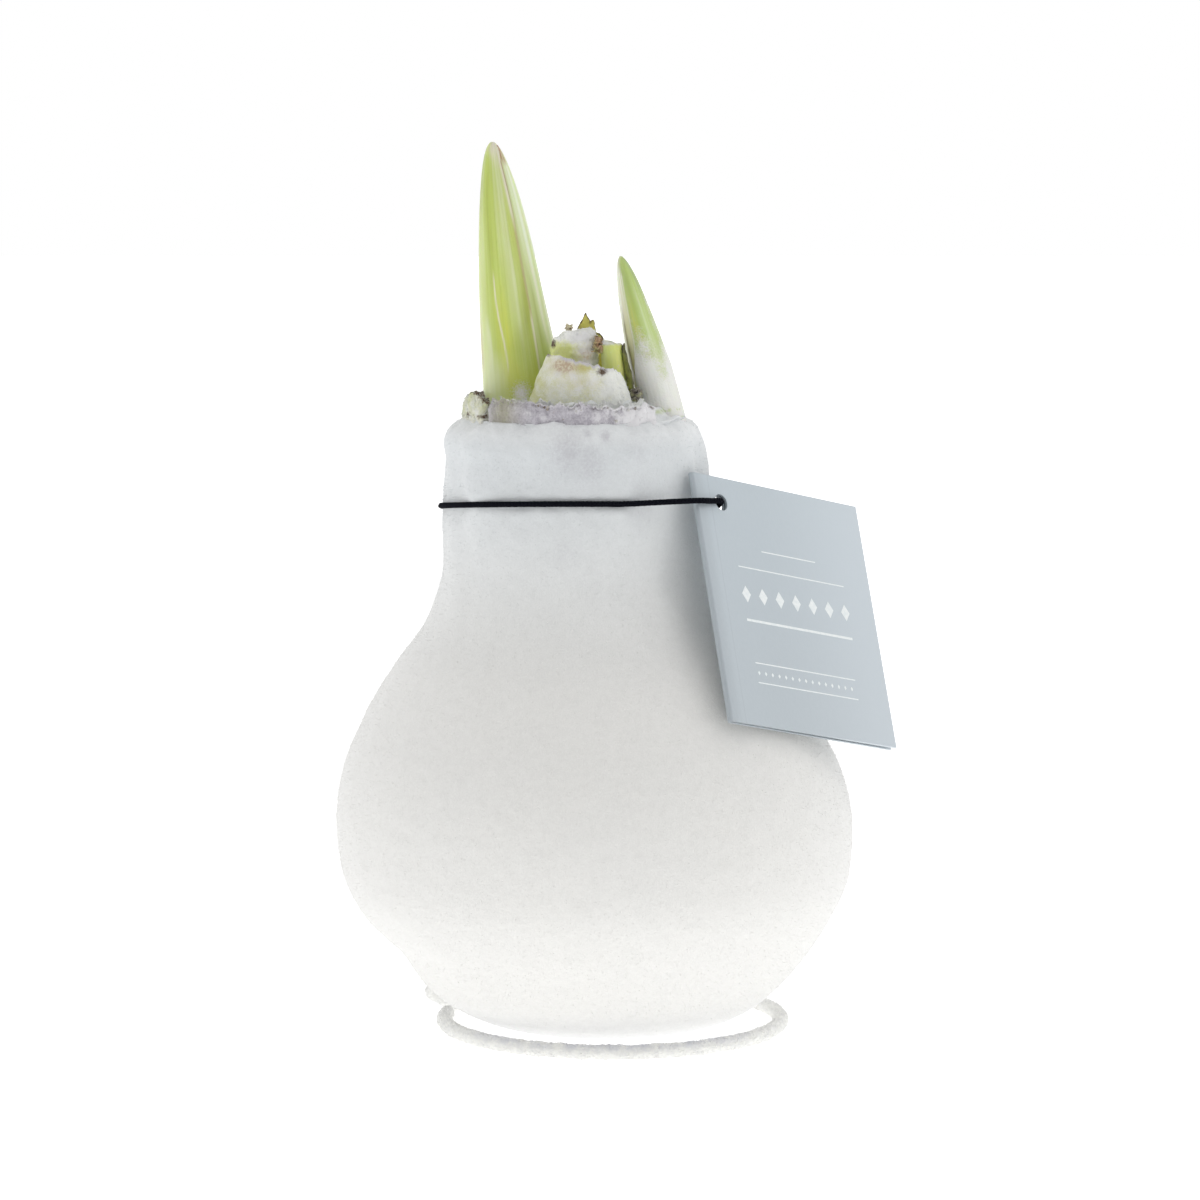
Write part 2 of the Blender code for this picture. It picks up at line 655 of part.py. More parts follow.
def make_cord(collection, cutters, material):
    """Elastic cord and the groove that it presses into the coat."""
    path = cord_path()
    cord = tube("neck_cord", path, CORD_DIAMETER, collection, cyclic=True)
    replace_by_mesh(cord, collection, material)
    wide = CORD_DIAMETER + 2 * CLEARANCE
    groove = tube("cord_groove", path, wide, cutters, cyclic=True)
    return as_cutter(replace_by_mesh(groove, cutters))


def base_point(radius, angle, height):
    """Point round the bulb's base."""
    return direction(angle) * radius + Vector((0.0, 0.0, height))


def make_wire(collection, cutters, material):
    """Wire stand and the hole that its prong enters."""
    half = WIRE_DIAMETER / 2
    count = round(WIRE_TURN / WIRE_STEP)
    ring = []
    for index in range(count + 1):
        spot = direction(WIRE_FREE_END + WIRE_TURN * index / count) * WIRE_RING_RADIUS
        ring.append(spot + Vector((WIRE_RING_X, 0.0, half)))
    mouth = base_point(PRONG_MOUTH[0], PRONG_DIRECTION, PRONG_MOUTH[1])
    end = base_point(PRONG_END[0], PRONG_DIRECTION, PRONG_END[1])
    entering = mouth.lerp(end, 0.2)
    rise = smooth_path([ring[-1]] + [base_point(*point) for point in WIRE_RISE]
                       + [mouth, entering, end], 2.4)
    wire = tube("wire_stand", ring + rise[1:], WIRE_DIAMETER, collection)
    replace_by_mesh(wire, collection, material)
    along = (end - mouth).normalized()
    drill = tube("prong_hole", [mouth - along * 2.0, end + along * CLEARANCE],
                 WIRE_DIAMETER + 2 * CLEARANCE, cutters)
    return as_cutter(replace_by_mesh(drill, cutters))


def make_materials():
    """The part's own colours."""
    return {
        "coat": make_material("velvet_coat", (0.80, 0.79, 0.75), 0.95),
        "paper": make_material("dry_scale", (0.45, 0.42, 0.40), 0.9),
        "fleshy": make_material("fleshy_scale", (0.66, 0.65, 0.47), 0.8),
        "stub": make_material("flocked_stub", (0.70, 0.72, 0.55), 0.85),
        "green": make_material("shoot_green", (0.38, 0.52, 0.10), 0.35),
        "pale": make_material("shoot_pale_green", (0.55, 0.64, 0.30), 0.4),
        "dry": make_material("dry_leaf", (0.30, 0.24, 0.08), 0.8),
        "cord": make_material("black_elastic", (0.01, 0.01, 0.012), 0.7),
        "card": make_material("tag_card", (0.42, 0.46, 0.50), 0.4),
        "wire": make_material("flocked_wire", (0.74, 0.73, 0.70), 0.9),
    }


def main():
    """Build the bulb, what grows from it and what is fitted to it."""
    for obj in list(bpy.data.objects):
        bpy.data.objects.remove(obj)
    parts = bpy.data.collections.new("amaryllis_bulb")
    cutters = bpy.data.collections.new("cutters")
    for collection in (parts, cutters):
        bpy.context.scene.collection.children.link(collection)
    materials = make_materials()

    bulb = make_bulb(parts, materials["coat"])
    holes = make_neck_scales(parts, cutters, materials)
    holes += make_stubs(parts, cutters, materials)
    large = Shoot(LARGE_TIP, LARGE_LEAN, LARGE_HALF_WIDTHS, LARGE_TAPER_LENGTH, LARGE_OPENING,
                  LARGE_HALF_OPENING)
    small = Shoot(SMALL_TIP, SMALL_LEAN, SMALL_HALF_WIDTHS, SMALL_TAPER_LENGTH, SMALL_OPENING,
                  SMALL_HALF_OPENING)
    for name, shoot in (("shoot_large", large), ("shoot_small", small)):
        holes.append(make_shoot(name, shoot, parts, cutters, materials["green"],
                                materials["pale"]))
    make_tag(parts, cutters, materials["card"])
    holes.append(make_cord(parts, cutters, materials["cord"]))
    holes.append(make_wire(parts, cutters, materials["wire"]))
    cut(bulb, holes)


main()
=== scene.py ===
"""Dressed amaryllis bulb: velvet coat, torn scales, cut leaves, two shoots, tag, cord and stand.

Lengths in this file are millimetres and angles are degrees unless a name says otherwise. MM turns
millimetres into the metres of the shared frame. Directions round the bulb count from +X, so that
-90 is the front.
"""
import logging
import math
from dataclasses import dataclass, field
from enum import Enum
from typing import Any, Callable, Sequence

import bmesh
import bpy
import numpy as np
from mathutils import Euler, Matrix, Vector, noise


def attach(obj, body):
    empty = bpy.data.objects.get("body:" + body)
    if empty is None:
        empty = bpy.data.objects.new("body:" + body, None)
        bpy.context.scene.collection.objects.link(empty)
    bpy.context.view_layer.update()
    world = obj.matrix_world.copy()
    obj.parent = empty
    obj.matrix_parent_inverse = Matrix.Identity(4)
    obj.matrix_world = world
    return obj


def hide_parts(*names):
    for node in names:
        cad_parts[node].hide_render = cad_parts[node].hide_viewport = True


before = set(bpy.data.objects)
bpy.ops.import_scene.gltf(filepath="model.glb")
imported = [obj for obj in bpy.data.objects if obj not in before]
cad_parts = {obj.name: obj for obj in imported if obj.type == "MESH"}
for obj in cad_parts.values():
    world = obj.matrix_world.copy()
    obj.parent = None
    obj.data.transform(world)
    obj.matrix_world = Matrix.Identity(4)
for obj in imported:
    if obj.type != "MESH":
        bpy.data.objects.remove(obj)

MM = 0.001
FULL_TURN = 2.0 * math.pi
LOG = logging.getLogger("amaryllis")

Array = np.ndarray
Pair = tuple[float, float]
Triple = tuple[float, float, float]
Colour = Triple
Mesh = bpy.types.Mesh
Material = bpy.types.Material
Node = bpy.types.Node
Socket = bpy.types.NodeSocket
Tree = bpy.types.NodeTree

FLOAT, VECTOR, INTEGER = "NodeSocketFloat", "NodeSocketVector", "NodeSocketInt"
GEOMETRY, MATERIAL = "NodeSocketGeometry", "NodeSocketMaterial"
# Painted layers of a leaf; the pale, cream and dark olive ones also carry painted rim light,
# highlights and shade.
LEAF_LAYERS = ("gold", "deep", "pale", "cream", "dry")


class Slot(Enum):
    """Material slots of the record that the pieces take their finishes from."""

    COAT = "velvet_coat"
    DRY_SCALE = "dry_scale"
    FLESHY_SCALE = "fleshy_scale"
    STUB = "flocked_stub"
    SHOOT = "shoot_green"
    PALE_SHOOT = "shoot_pale_green"
    DRY_LEAF = "dry_leaf"
    CORD = "black_elastic"
    CARD = "tag_card"
    WIRE = "flocked_wire"


class Opening(Enum):
    """Side on which a shoot's outer leaf stands open, as a direction in degrees."""

    RIGHT = 0.0
    LEFT = 180.0


def direction(degrees: float) -> Vector:
    """Unit vector in the ground plane."""
    return Vector((math.cos(math.radians(degrees)), math.sin(math.radians(degrees)), 0.0))


def smooth_step(values: Array, low: float, high: float) -> Array:
    """Soft ramp from 0 at low to 1 at high.

    Args:
        values: numbers to be mapped.
        low: number that gives 0.
        high: number that gives 1, which may be smaller than low.

    Returns:
        Numbers from 0 to 1.
    """
    share = np.clip((values - low) / (high - low), 0.0, 1.0)
    return share * share * (3.0 - 2.0 * share)


def hump(*terms: tuple[Array, float, float]) -> Array:
    """Soft hump that is 1 in its middle.

    Args:
        terms: values, middle and half width in each direction.

    Returns:
        Numbers from 0 to 1.
    """
    return np.exp(-sum(((values - middle) / width) ** 2 for values, middle, width in terms))


def wrapped(angle: Any) -> Any:
    """Angle or angles brought between -180 and 180."""
    return (angle + 180.0) % 360.0 - 180.0


def waves(points: Array, wavelength: float, seed: int, count: int = 16) -> Array:
    """Smooth seeded unevenness, made of plain waves in many directions.

    Args:
        points: places in millimetres, one row each.
        wavelength: middle wavelength in millimetres.
        seed: seed of the waves.
        count: number of waves.

    Returns:
        One number for each point, about 0 on average and mostly between -2 and 2.
    """
    dice = np.random.default_rng(seed)
    heading = dice.normal(size=(count, points.shape[-1]))
    heading /= np.linalg.norm(heading, axis=1, keepdims=True)
    pace = 2.0 * np.pi / (wavelength * dice.uniform(0.65, 1.5, count))
    phase = dice.uniform(0.0, 2.0 * np.pi, count)
    return np.sin(points @ (heading * pace[:, None]).T + phase).sum(axis=-1) / math.sqrt(count / 2)


def catmull_rom(a: Vector, b: Vector, c: Vector, d: Vector, t: float) -> Vector:
    """Point between b and c of the centripetal curve through four points.

    Args:
        a: point before the stretch.
        b: start of the stretch.
        c: end of the stretch.
        d: point after the stretch.
        t: share of the stretch, from 0 to 1.

    Returns:
        The point on the curve.
    """
    knots = [0.0]
    for start, end in ((a, b), (b, c), (c, d)):
        knots.append(knots[-1] + math.sqrt(max((end - start).length, 1e-5)))
    t = knots[1] + t * (knots[2] - knots[1])
    ab = a.lerp(b, (t - knots[0]) / (knots[1] - knots[0]))
    bc = b.lerp(c, (t - knots[1]) / (knots[2] - knots[1]))
    cd = c.lerp(d, (t - knots[2]) / (knots[3] - knots[2]))
    abc = ab.lerp(bc, (t - knots[0]) / (knots[2] - knots[0]))
    bcd = bc.lerp(cd, (t - knots[1]) / (knots[3] - knots[1]))
    return abc.lerp(bcd, (t - knots[1]) / (knots[2] - knots[1]))


def smooth_path(points: Sequence[Any], spacing: float) -> list[Vector]:
    """Points about one spacing apart on a smooth curve through the given ones.

    Args:
        points: places that the curve goes through.
        spacing: distance between the points that come back.

    Returns:
        The points, the first and last given ones among them.
    """
    path = [Vector(point) for point in points]
    ends = [path[0] * 2 - path[1]] + path + [path[-1] * 2 - path[-2]]
    result: list[Vector] = []
    for index in range(len(path) - 1):
        a, b, c, d = ends[index:index + 4]
        steps = max(1, round((c - b).length / spacing))
        result += [catmull_rom(a, b, c, d, step / steps) for step in range(steps)]
    return result + [path[-1]]


@dataclass
class MeshMaker:
    """Collects points and faces with their UV places and turns them into one mesh."""

    points: list[Array] = field(default_factory=list)
    quads: list[Array] = field(default_factory=list)
    quad_uvs: list[Array] = field(default_factory=list)
    fans: list[Sequence[int]] = field(default_factory=list)
    fan_uvs: list[Pair] = field(default_factory=list)
    count: int = 0

    def add_points(self, points: Array) -> int:
        """Add points and give the index of the first of them.

        Args:
            points: places of the points.

        Returns:
            Index of the first of them.
        """
        self.points.append(points.reshape(-1, 3))
        self.count += len(self.points[-1])
        return self.count - len(self.points[-1])

    def add_grid(self, grid: Array, closed: bool = False, flip: bool = False) -> int:
        """Add a grid of quads.

        Args:
            grid: places, rows along v and columns along u.
            closed: whether the last column joins the first.
            flip: whether the faces look the other way.

        Returns:
            Index of the grid's first point.
        """
        rows, columns = grid.shape[:2]
        first = self.add_points(grid)
        last = columns if closed else columns - 1
        row, column = np.meshgrid(np.arange(rows - 1), np.arange(last), indexing="ij")
        after = (column + 1) % columns
        corners = [row * columns + column, row * columns + after,
                   (row + 1) * columns + after, (row + 1) * columns + column]
        u_low, u_high = column / last, (column + 1) / last
        v_low, v_high = row / (rows - 1), (row + 1) / (rows - 1)
        uvs = [(u_low, v_low), (u_high, v_low), (u_high, v_high), (u_low, v_high)]
        turn = -1 if flip else 1
        self.quads.append(np.stack(corners[::turn], axis=-1).reshape(-1, 4) + first)
        self.quad_uvs.append(np.stack([np.stack(uv, axis=-1) for uv in uvs[::turn]],
                                      axis=-2).reshape(-1, 4, 2))
        return first

    def add_strip(self, ones: Array, others: Array, u: float, v: Array) -> None:
        """Join two runs of points with a band of quads.

        Args:
            ones: indices of the first run's points.
            others: indices of the second run's points.
            u: place of the band across the UV map.
            v: places of its points along the UV map.
        """
        self.quads.append(np.stack([ones[:-1], ones[1:], others[1:], others[:-1]], axis=-1))
        along = np.stack([v[:-1], v[1:], v[1:], v[:-1]], axis=-1)
        self.quad_uvs.append(np.stack([np.full(along.shape, u), along], axis=-1))

    def add_pole(self, ring: Sequence[int], centre: Array, v: float, flip: bool = False) -> None:
        """Close a ring of points with a fan of triangles.

        Args:
            ring: indices of the ring's points in order.
            centre: place of the fan's middle.
            v: height of the fan on the UV map.
            flip: whether the faces look the other way.
        """
        middle = self.add_points(np.asarray(centre, dtype=float))
        for index, a in enumerate(ring):
            b = ring[(index + 1) % len(ring)]
            self.fans.append((b, a, middle) if flip else (a, b, middle))
            self.fan_uvs += [(index / len(ring), v)] * 3

    def mesh(self, name: str, sharp: float = 50.0) -> Mesh:
        """Turn what was collected into a smooth shaded mesh whose faces point outwards.

        Args:
            name: name of the mesh.
            sharp: edges that turn more than this stay sharp.

        Returns:
            The mesh, in metres.
        """
        points = np.concatenate(self.points) * MM
        quads = np.concatenate(self.quads)
        data = bpy.data.meshes.new(name)
        data.from_pydata(points.tolist(), [], quads.tolist() + [list(fan) for fan in self.fans])
        uvs = np.concatenate([np.concatenate(self.quad_uvs).reshape(-1, 2),
                              np.array(self.fan_uvs, dtype=float).reshape(-1, 2)])
        layer = data.uv_layers.new(name="UVMap")
        layer.data.foreach_set("uv", uvs.astype(np.float32).ravel())
        outwards(data)
        data.shade_smooth()
        data.set_sharp_from_angle(angle=math.radians(sharp))
        return data


def outwards(data: Mesh) -> None:
    """Point the faces of a closed mesh outwards.

    Args:
        data: the mesh.
    """
    body = bmesh.new()
    body.from_mesh(data)
    bmesh.ops.recalc_face_normals(body, faces=body.faces)
    body.to_mesh(data)
    body.free()


def kept(name: str, body: bmesh.types.BMesh) -> Mesh:
    """Turn a body that is being modelled into a mesh and free it.

    Args:
        name: name of the mesh.
        body: the body.

    Returns:
        The mesh.
    """
    data = bpy.data.meshes.new(name)
    body.to_mesh(data)
    body.free()
    return data


def linked(name: str, data: Any) -> bpy.types.Object:
    """Put a mesh, curve, camera or lamp in the scene as an object.

    Args:
        name: name of the object.
        data: what it shows.

    Returns:
        The object.
    """
    made = bpy.data.objects.new(name, data)
    bpy.context.scene.collection.objects.link(made)
    return made


def taken_from(carrier: bpy.types.Object) -> Mesh:
    """Plain mesh of an object with its modifiers applied, and the object removed.

    Args:
        carrier: the object.

    Returns:
        The mesh.
    """
    depsgraph = bpy.context.evaluated_depsgraph_get()
    data = bpy.data.meshes.new_from_object(carrier.evaluated_get(depsgraph))
    bpy.data.objects.remove(carrier)
    return data


def shell(name: str, grid: Array, thickness: Array) -> Mesh:
    """Closed skin about a curved sheet.

    Args:
        name: name of the mesh.
        grid: places on the middle of the sheet, rows along v and columns along u.
        thickness: thickness at each place.

    Returns:
        The mesh, with the outer skin's points first and the inner skin's after them.
    """
    across = np.cross(np.gradient(grid, axis=1), np.gradient(grid, axis=0))
    across /= np.maximum(np.linalg.norm(across, axis=-1, keepdims=True), 1e-9)
    half = thickness[..., None] / 2
    maker = MeshMaker()
    outer = maker.add_grid(grid + across * half)
    inner = maker.add_grid(grid - across * half, flip=True)
    rows, columns = grid.shape[:2]
    index = np.arange(rows * columns).reshape(rows, columns)
    share = np.linspace(0.0, 1.0, rows)
    for run, u, v in ((index[0], 0.5, np.zeros(columns)), (index[-1], 0.5, np.ones(columns)),
                      (index[:, 0], 0.0, share), (index[:, -1], 0.0, share)):
        maker.add_strip(run + outer, run + inner, u, v)
    return maker.mesh(name)


def tube(name: str, grid: Array, start: Any = None, end: Any = None, sharp: float = 50.0) -> Mesh:
    """Closed body of rings with a pole at each end.

    Args:
        name: name of the mesh.
        grid: places, one row for each ring.
        start: place of the pole before the first ring, or none for the ring's middle.
        end: place of the pole after the last ring, or none for the ring's middle.
        sharp: edges that turn more than this stay sharp.

    Returns:
        The mesh, with the rings' points first.
    """
    maker = MeshMaker()
    maker.add_grid(grid, closed=True)
    rows, sides = grid.shape[:2]
    maker.add_pole(range(sides), grid[0].mean(axis=0) if start is None else start, 0.0, flip=True)
    maker.add_pole(range((rows - 1) * sides, rows * sides),
                   grid[-1].mean(axis=0) if end is None else end, 1.0)
    return maker.mesh(name, sharp)


def paint(data: Mesh, most: float = 1.0, least: float = 0.0, **layers: Any) -> None:
    """Keep numbers for each point of a mesh, for materials and makers to read.

    Args:
        data: the mesh.
        most: largest number that is kept.
        least: smallest number that is kept.
        layers: numbers of each painted layer, one for each point or one for all.
    """
    for name, values in layers.items():
        layer = data.attributes.new(name, "FLOAT", "POINT")
        numbers = np.clip(values + np.zeros(len(data.vertices)), least, most)
        layer.data.foreach_set("value", numbers.astype(np.float32))


def corners(data: Mesh) -> Array:
    """Index of the point at each corner of a mesh's faces.

    Args:
        data: the mesh.

    Returns:
        The indices.
    """
    corner = np.empty(len(data.loops), dtype=np.int32)
    data.loops.foreach_get("vertex_index", corner)
    return corner


def places(data: Mesh) -> Array:
    """Places of a mesh's points, in millimetres.

    Args:
        data: the mesh.

    Returns:
        The places, one row each.
    """
    flat = np.empty(len(data.vertices) * 3, dtype=np.float32)
    data.vertices.foreach_get("co", flat)
    return flat.reshape(-1, 3).astype(float) / MM


@dataclass
class Wiring:
    """Short words for adding and joining the nodes of one tree."""

    tree: Tree

    def add(self, kind: str, inputs: dict[Any, Any] | None = None, **settings: Any) -> Node:
        """Add a node.

        Args:
            kind: Blender's name of the node type.
            inputs: values or sockets for its inputs, by name or index.
            settings: properties of the node.

        Returns:
            The node.
        """
        node = self.tree.nodes.new(kind)
        for key, value in settings.items():
            setattr(node, key, value)
        for key, value in (inputs or {}).items():
            self.put(node, key, value)
        return node

    def first(self, kind: str, inputs: dict[Any, Any] | None = None, **settings: Any) -> Socket:
        """Add a node and give its first output."""
        return self.add(kind, inputs, **settings).outputs[0]

    def put(self, node: Node, key: Any, value: Any) -> None:
        """Give an input its value, or the socket that feeds it.

        Args:
            node: the node.
            key: name or index of the input.
            value: value or socket.
        """
        if isinstance(value, Socket):
            self.tree.links.new(value, node.inputs[key])
        else:
            node.inputs[key].default_value = value

    def sum(self, operation: str, a: Any, b: Any = 0.0, clamp: bool = False) -> Socket:
        """One step of arithmetic on numbers."""
        return self.first("ShaderNodeMath", {0: a, 1: b}, operation=operation, use_clamp=clamp)

    def plus(self, a: Any, b: Any) -> Socket:
        """Two numbers added."""
        return self.sum("ADD", a, b)

    def minus(self, a: Any, b: Any) -> Socket:
        """One number less another."""
        return self.sum("SUBTRACT", a, b)

    def times(self, a: Any, b: Any) -> Socket:
        """Two numbers multiplied."""
        return self.sum("MULTIPLY", a, b)

    def over(self, a: Any, b: Any) -> Socket:
        """One number divided by another."""
        return self.sum("DIVIDE", a, b)

    def xyz(self, x: Any = 0.0, y: Any = 0.0, z: Any = 0.0) -> Socket:
        """Vector of three numbers."""
        return self.first("ShaderNodeCombineXYZ", {0: x, 1: y, 2: z})

    def vector(self, operation: str, a: Any, b: Any) -> Socket:
        """One step of arithmetic on vectors."""
        return self.first("ShaderNodeVectorMath", {0: a, 1: b}, operation=operation)

    def scaled(self, vector: Any, by: Any) -> Socket:
        """A vector made longer or shorter."""
        return self.first("ShaderNodeVectorMath", {0: vector, "Scale": by}, operation="SCALE")

    def mix(self, share: Any, a: Any, b: Any, blend: str = "MIX") -> Socket:
        """Mix of two colours.

        Args:
            share: share of the second colour.
            a: first colour.
            b: second colour.
            blend: Blender's name of the way they mix.

        Returns:
            The mix.
        """
        node = self.add("ShaderNodeMix", {0: share}, data_type="RGBA", blend_type=blend)
        for index, value in ((6, a), (7, b)):
            self.put(node, index, (*value, 1.0) if isinstance(value, tuple) else value)
        return node.outputs[2]

    def layered(self, body: Any, *layers: tuple[Any, Any]) -> Any:
        """Colour under layers of mask and colour, one over the other.

        Args:
            body: lowest colour.
            layers: mask and colour of each layer, upwards.

        Returns:
            The colour.
        """
        for mask, colour in layers:
            body = self.mix(mask, body, colour)
        return body

    def ramp(self, value: Any, low: float, high: float, start: float = 0.0,
             end: float = 1.0) -> Socket:
        """Soft step of a number from start at low to end at high."""
        return self.first("ShaderNodeMapRange", {0: value, 1: low, 2: high, 3: start, 4: end},
                          interpolation_type="SMOOTHSTEP")

    def grain(self, vector: Any, scale: Any, detail: float = 2.0, rough: float = 0.5) -> Socket:
        """Noise from 0 to 1."""
        return self.first("ShaderNodeTexNoise", {"Vector": vector, "Scale": scale,
                                                 "Detail": detail, "Roughness": rough})

    def here(self) -> Socket:
        """Place on the piece, in metres."""
        return self.add("ShaderNodeTexCoord").outputs["Object"]

    def uv(self) -> Socket:
        """Place on the piece's own UV map."""
        return self.first("ShaderNodeUVMap", uv_map="UVMap")

    def painted(self, name: str) -> Socket:
        """Number that was painted on the piece's points."""
        return self.add("ShaderNodeAttribute", attribute_name=name).outputs["Fac"]

    def split(self, vector: Any) -> Any:
        """The three parts of a vector."""
        return self.add("ShaderNodeSeparateXYZ", {0: vector}).outputs


def new_group(name: str, kind: str, inputs: Sequence[tuple[str, str, Any]],
              outputs: Sequence[tuple[str, str]]) -> tuple[Wiring, Any, Node]:
    """Start a node group with named sockets.

    Args:
        name: name of the group.
        kind: Blender's name of the tree type.
        inputs: name, socket type and value of each input.
        outputs: name and socket type of each output.

    Returns:
        The group's wiring, what its input node gives and its output node.
    """
    tree = bpy.data.node_groups.new(name, kind)
    for label, socket, value in inputs:
        item = tree.interface.new_socket(name=label, in_out="INPUT", socket_type=socket)
        if value is not None:
            item.default_value = value
    for label, socket in outputs:
        tree.interface.new_socket(name=label, in_out="OUTPUT", socket_type=socket)
    given = tree.nodes.new("NodeGroupInput").outputs
    return Wiring(tree), given, tree.nodes.new("NodeGroupOutput")


class SharedEffects:
    """Shader node groups that more than one finish uses, each built once."""

    def __init__(self) -> None:
        """Build the groups."""
        self.flock = self.build_flock()
        self.streaks = self.build_streaks()
        self.speckle = self.build_speckle()
        self.broken = self.build_broken()

    @staticmethod
    def spots(wires: Wiring, given: Any, size: str) -> Socket:
        """Rough noise whose size in millimetres an input gives."""
        return wires.grain(given["Vector"], wires.over(1.0 / MM, given[size]), 3.0, 0.7)

    @staticmethod
    def build_flock() -> Tree:
        """Short upright fibres: a fine grain with clumps, as a height and a tone.

        Returns:
            The tree.
        """
        wires, given, out = new_group(
            "flock_grain", "ShaderNodeTree",
            [("Vector", VECTOR, None), ("Grain mm", FLOAT, 0.35), ("Clump mm", FLOAT, 2.2)],
            [("Height", FLOAT), ("Tone", FLOAT)])
        fine = wires.grain(given["Vector"], wires.over(1.0 / MM, given["Grain mm"]), 2.0, 0.65)
        clump = wires.grain(given["Vector"], wires.over(1.0 / MM, given["Clump mm"]), 3.0, 0.6)
        wires.put(out, "Height", wires.plus(wires.times(fine, 0.6), wires.times(clump, 0.4)))
        wires.put(out, "Tone", wires.plus(wires.times(wires.ramp(fine, 0.3, 0.7), 0.5),
                                          wires.times(wires.ramp(clump, 0.25, 0.75), 0.5)))
        return wires.tree

    @staticmethod
    def build_streaks() -> Tree:
        """Veins and streaks along a leaf, from its UV map.

        Returns:
            The tree.
        """
        wires, given, out = new_group(
            "leaf_streaks", "ShaderNodeTree",
            [("Vector", VECTOR, None), ("Across", FLOAT, 40.0), ("Along", FLOAT, 1.5)],
            [("Veins", FLOAT), ("Bands", FLOAT)])
        parts = wires.split(given["Vector"])
        stretched = wires.xyz(wires.times(parts[0], given["Across"]),
                              wires.times(parts[1], given["Along"]))
        veins = wires.grain(stretched, 1.6, 2.0, 0.6)
        bands = wires.grain(wires.vector("MULTIPLY", stretched, (0.16, 0.8, 1.0)), 1.0)
        wires.put(out, "Veins", wires.ramp(veins, 0.3, 0.7))
        wires.put(out, "Bands", wires.ramp(bands, 0.3, 0.7))
        return wires.tree

    @classmethod
    def build_speckle(cls) -> Tree:
        """Small dark specks, denser where the amount is higher.

        Returns:
            The tree.
        """
        wires, given, out = new_group(
            "dry_speckle", "ShaderNodeTree",
            [("Vector", VECTOR, None), ("Speck mm", FLOAT, 0.8), ("Amount", FLOAT, 0.3)],
            [("Mask", FLOAT)])
        limit = wires.minus(0.76, wires.times(given["Amount"], 0.30))
        over = wires.minus(cls.spots(wires, given, "Speck mm"), limit)
        wires.put(out, "Mask", wires.ramp(over, -0.06, 0.10))
        return wires.tree

    @classmethod
    def build_broken(cls) -> Tree:
        """A soft mask broken up into grains, as where flock thins out.

        Returns:
            The tree.
        """
        wires, given, out = new_group(
            "broken_edge", "ShaderNodeTree",
            [("Vector", VECTOR, None), ("Mask", FLOAT, 0.5), ("Grain mm", FLOAT, 0.35)],
            [("Mask", FLOAT)])
        spots = cls.spots(wires, given, "Grain mm")
        mixed = wires.plus(given["Mask"], wires.times(wires.minus(spots, 0.5), 1.15))
        wires.put(out, "Mask", wires.ramp(mixed, 0.12, 0.88))
        return wires.tree


@dataclass
class MaterialMaker:
    """One material with its shader, its wiring and the shared effects at hand."""

    name: str
    effects: SharedEffects
    material: Material = field(init=False)
    wires: Wiring = field(init=False)
    shader: Node = field(init=False)

    def __post_init__(self) -> None:
        """Make the empty material."""
        self.material = bpy.data.materials.new(self.name)
        self.material.use_nodes = True
        self.wires = Wiring(self.material.node_tree)
        self.shader = self.material.node_tree.nodes["Principled BSDF"]

    def set(self, **values: Any) -> None:
        """Set the shader's own sockets, with underscores for spaces.

        Args:
            values: value or socket of each.
        """
        for key, value in values.items():
            label = key.replace("_", " ")
            self.wires.put(self.shader, label, (*value, 1.0) if isinstance(value, tuple) else value)

    def effect(self, tree: Tree, inputs: dict[str, Any]) -> Any:
        """Place a shared effect and give its outputs."""
        return self.wires.add("ShaderNodeGroup", {"Vector": self.wires.here()} | inputs,
                              node_tree=tree).outputs

    def flock(self, grain_mm: float, clump_mm: float = 2.2) -> Any:
        """Height and tone of short upright fibres."""
        return self.effect(self.effects.flock, {"Grain mm": grain_mm, "Clump mm": clump_mm})

    def broken(self, label: str, grain_mm: float) -> Socket:
        """Painted layer broken up into grains."""
        mask = {"Mask": self.wires.painted(label), "Grain mm": grain_mm}
        return self.effect(self.effects.broken, mask)["Mask"]

    def relief(self, height: Any, depth_mm: float) -> Material:
        """Feed a height to the surface's normal and give the finished material.

        Args:
            height: the height.
            depth_mm: its depth.

        Returns:
            The material.
        """
        bump = self.wires.first("ShaderNodeBump", {"Height": height, "Strength": 1.0,
                                                   "Distance": depth_mm * MM})
        self.wires.put(self.shader, "Normal", bump)
        return self.material


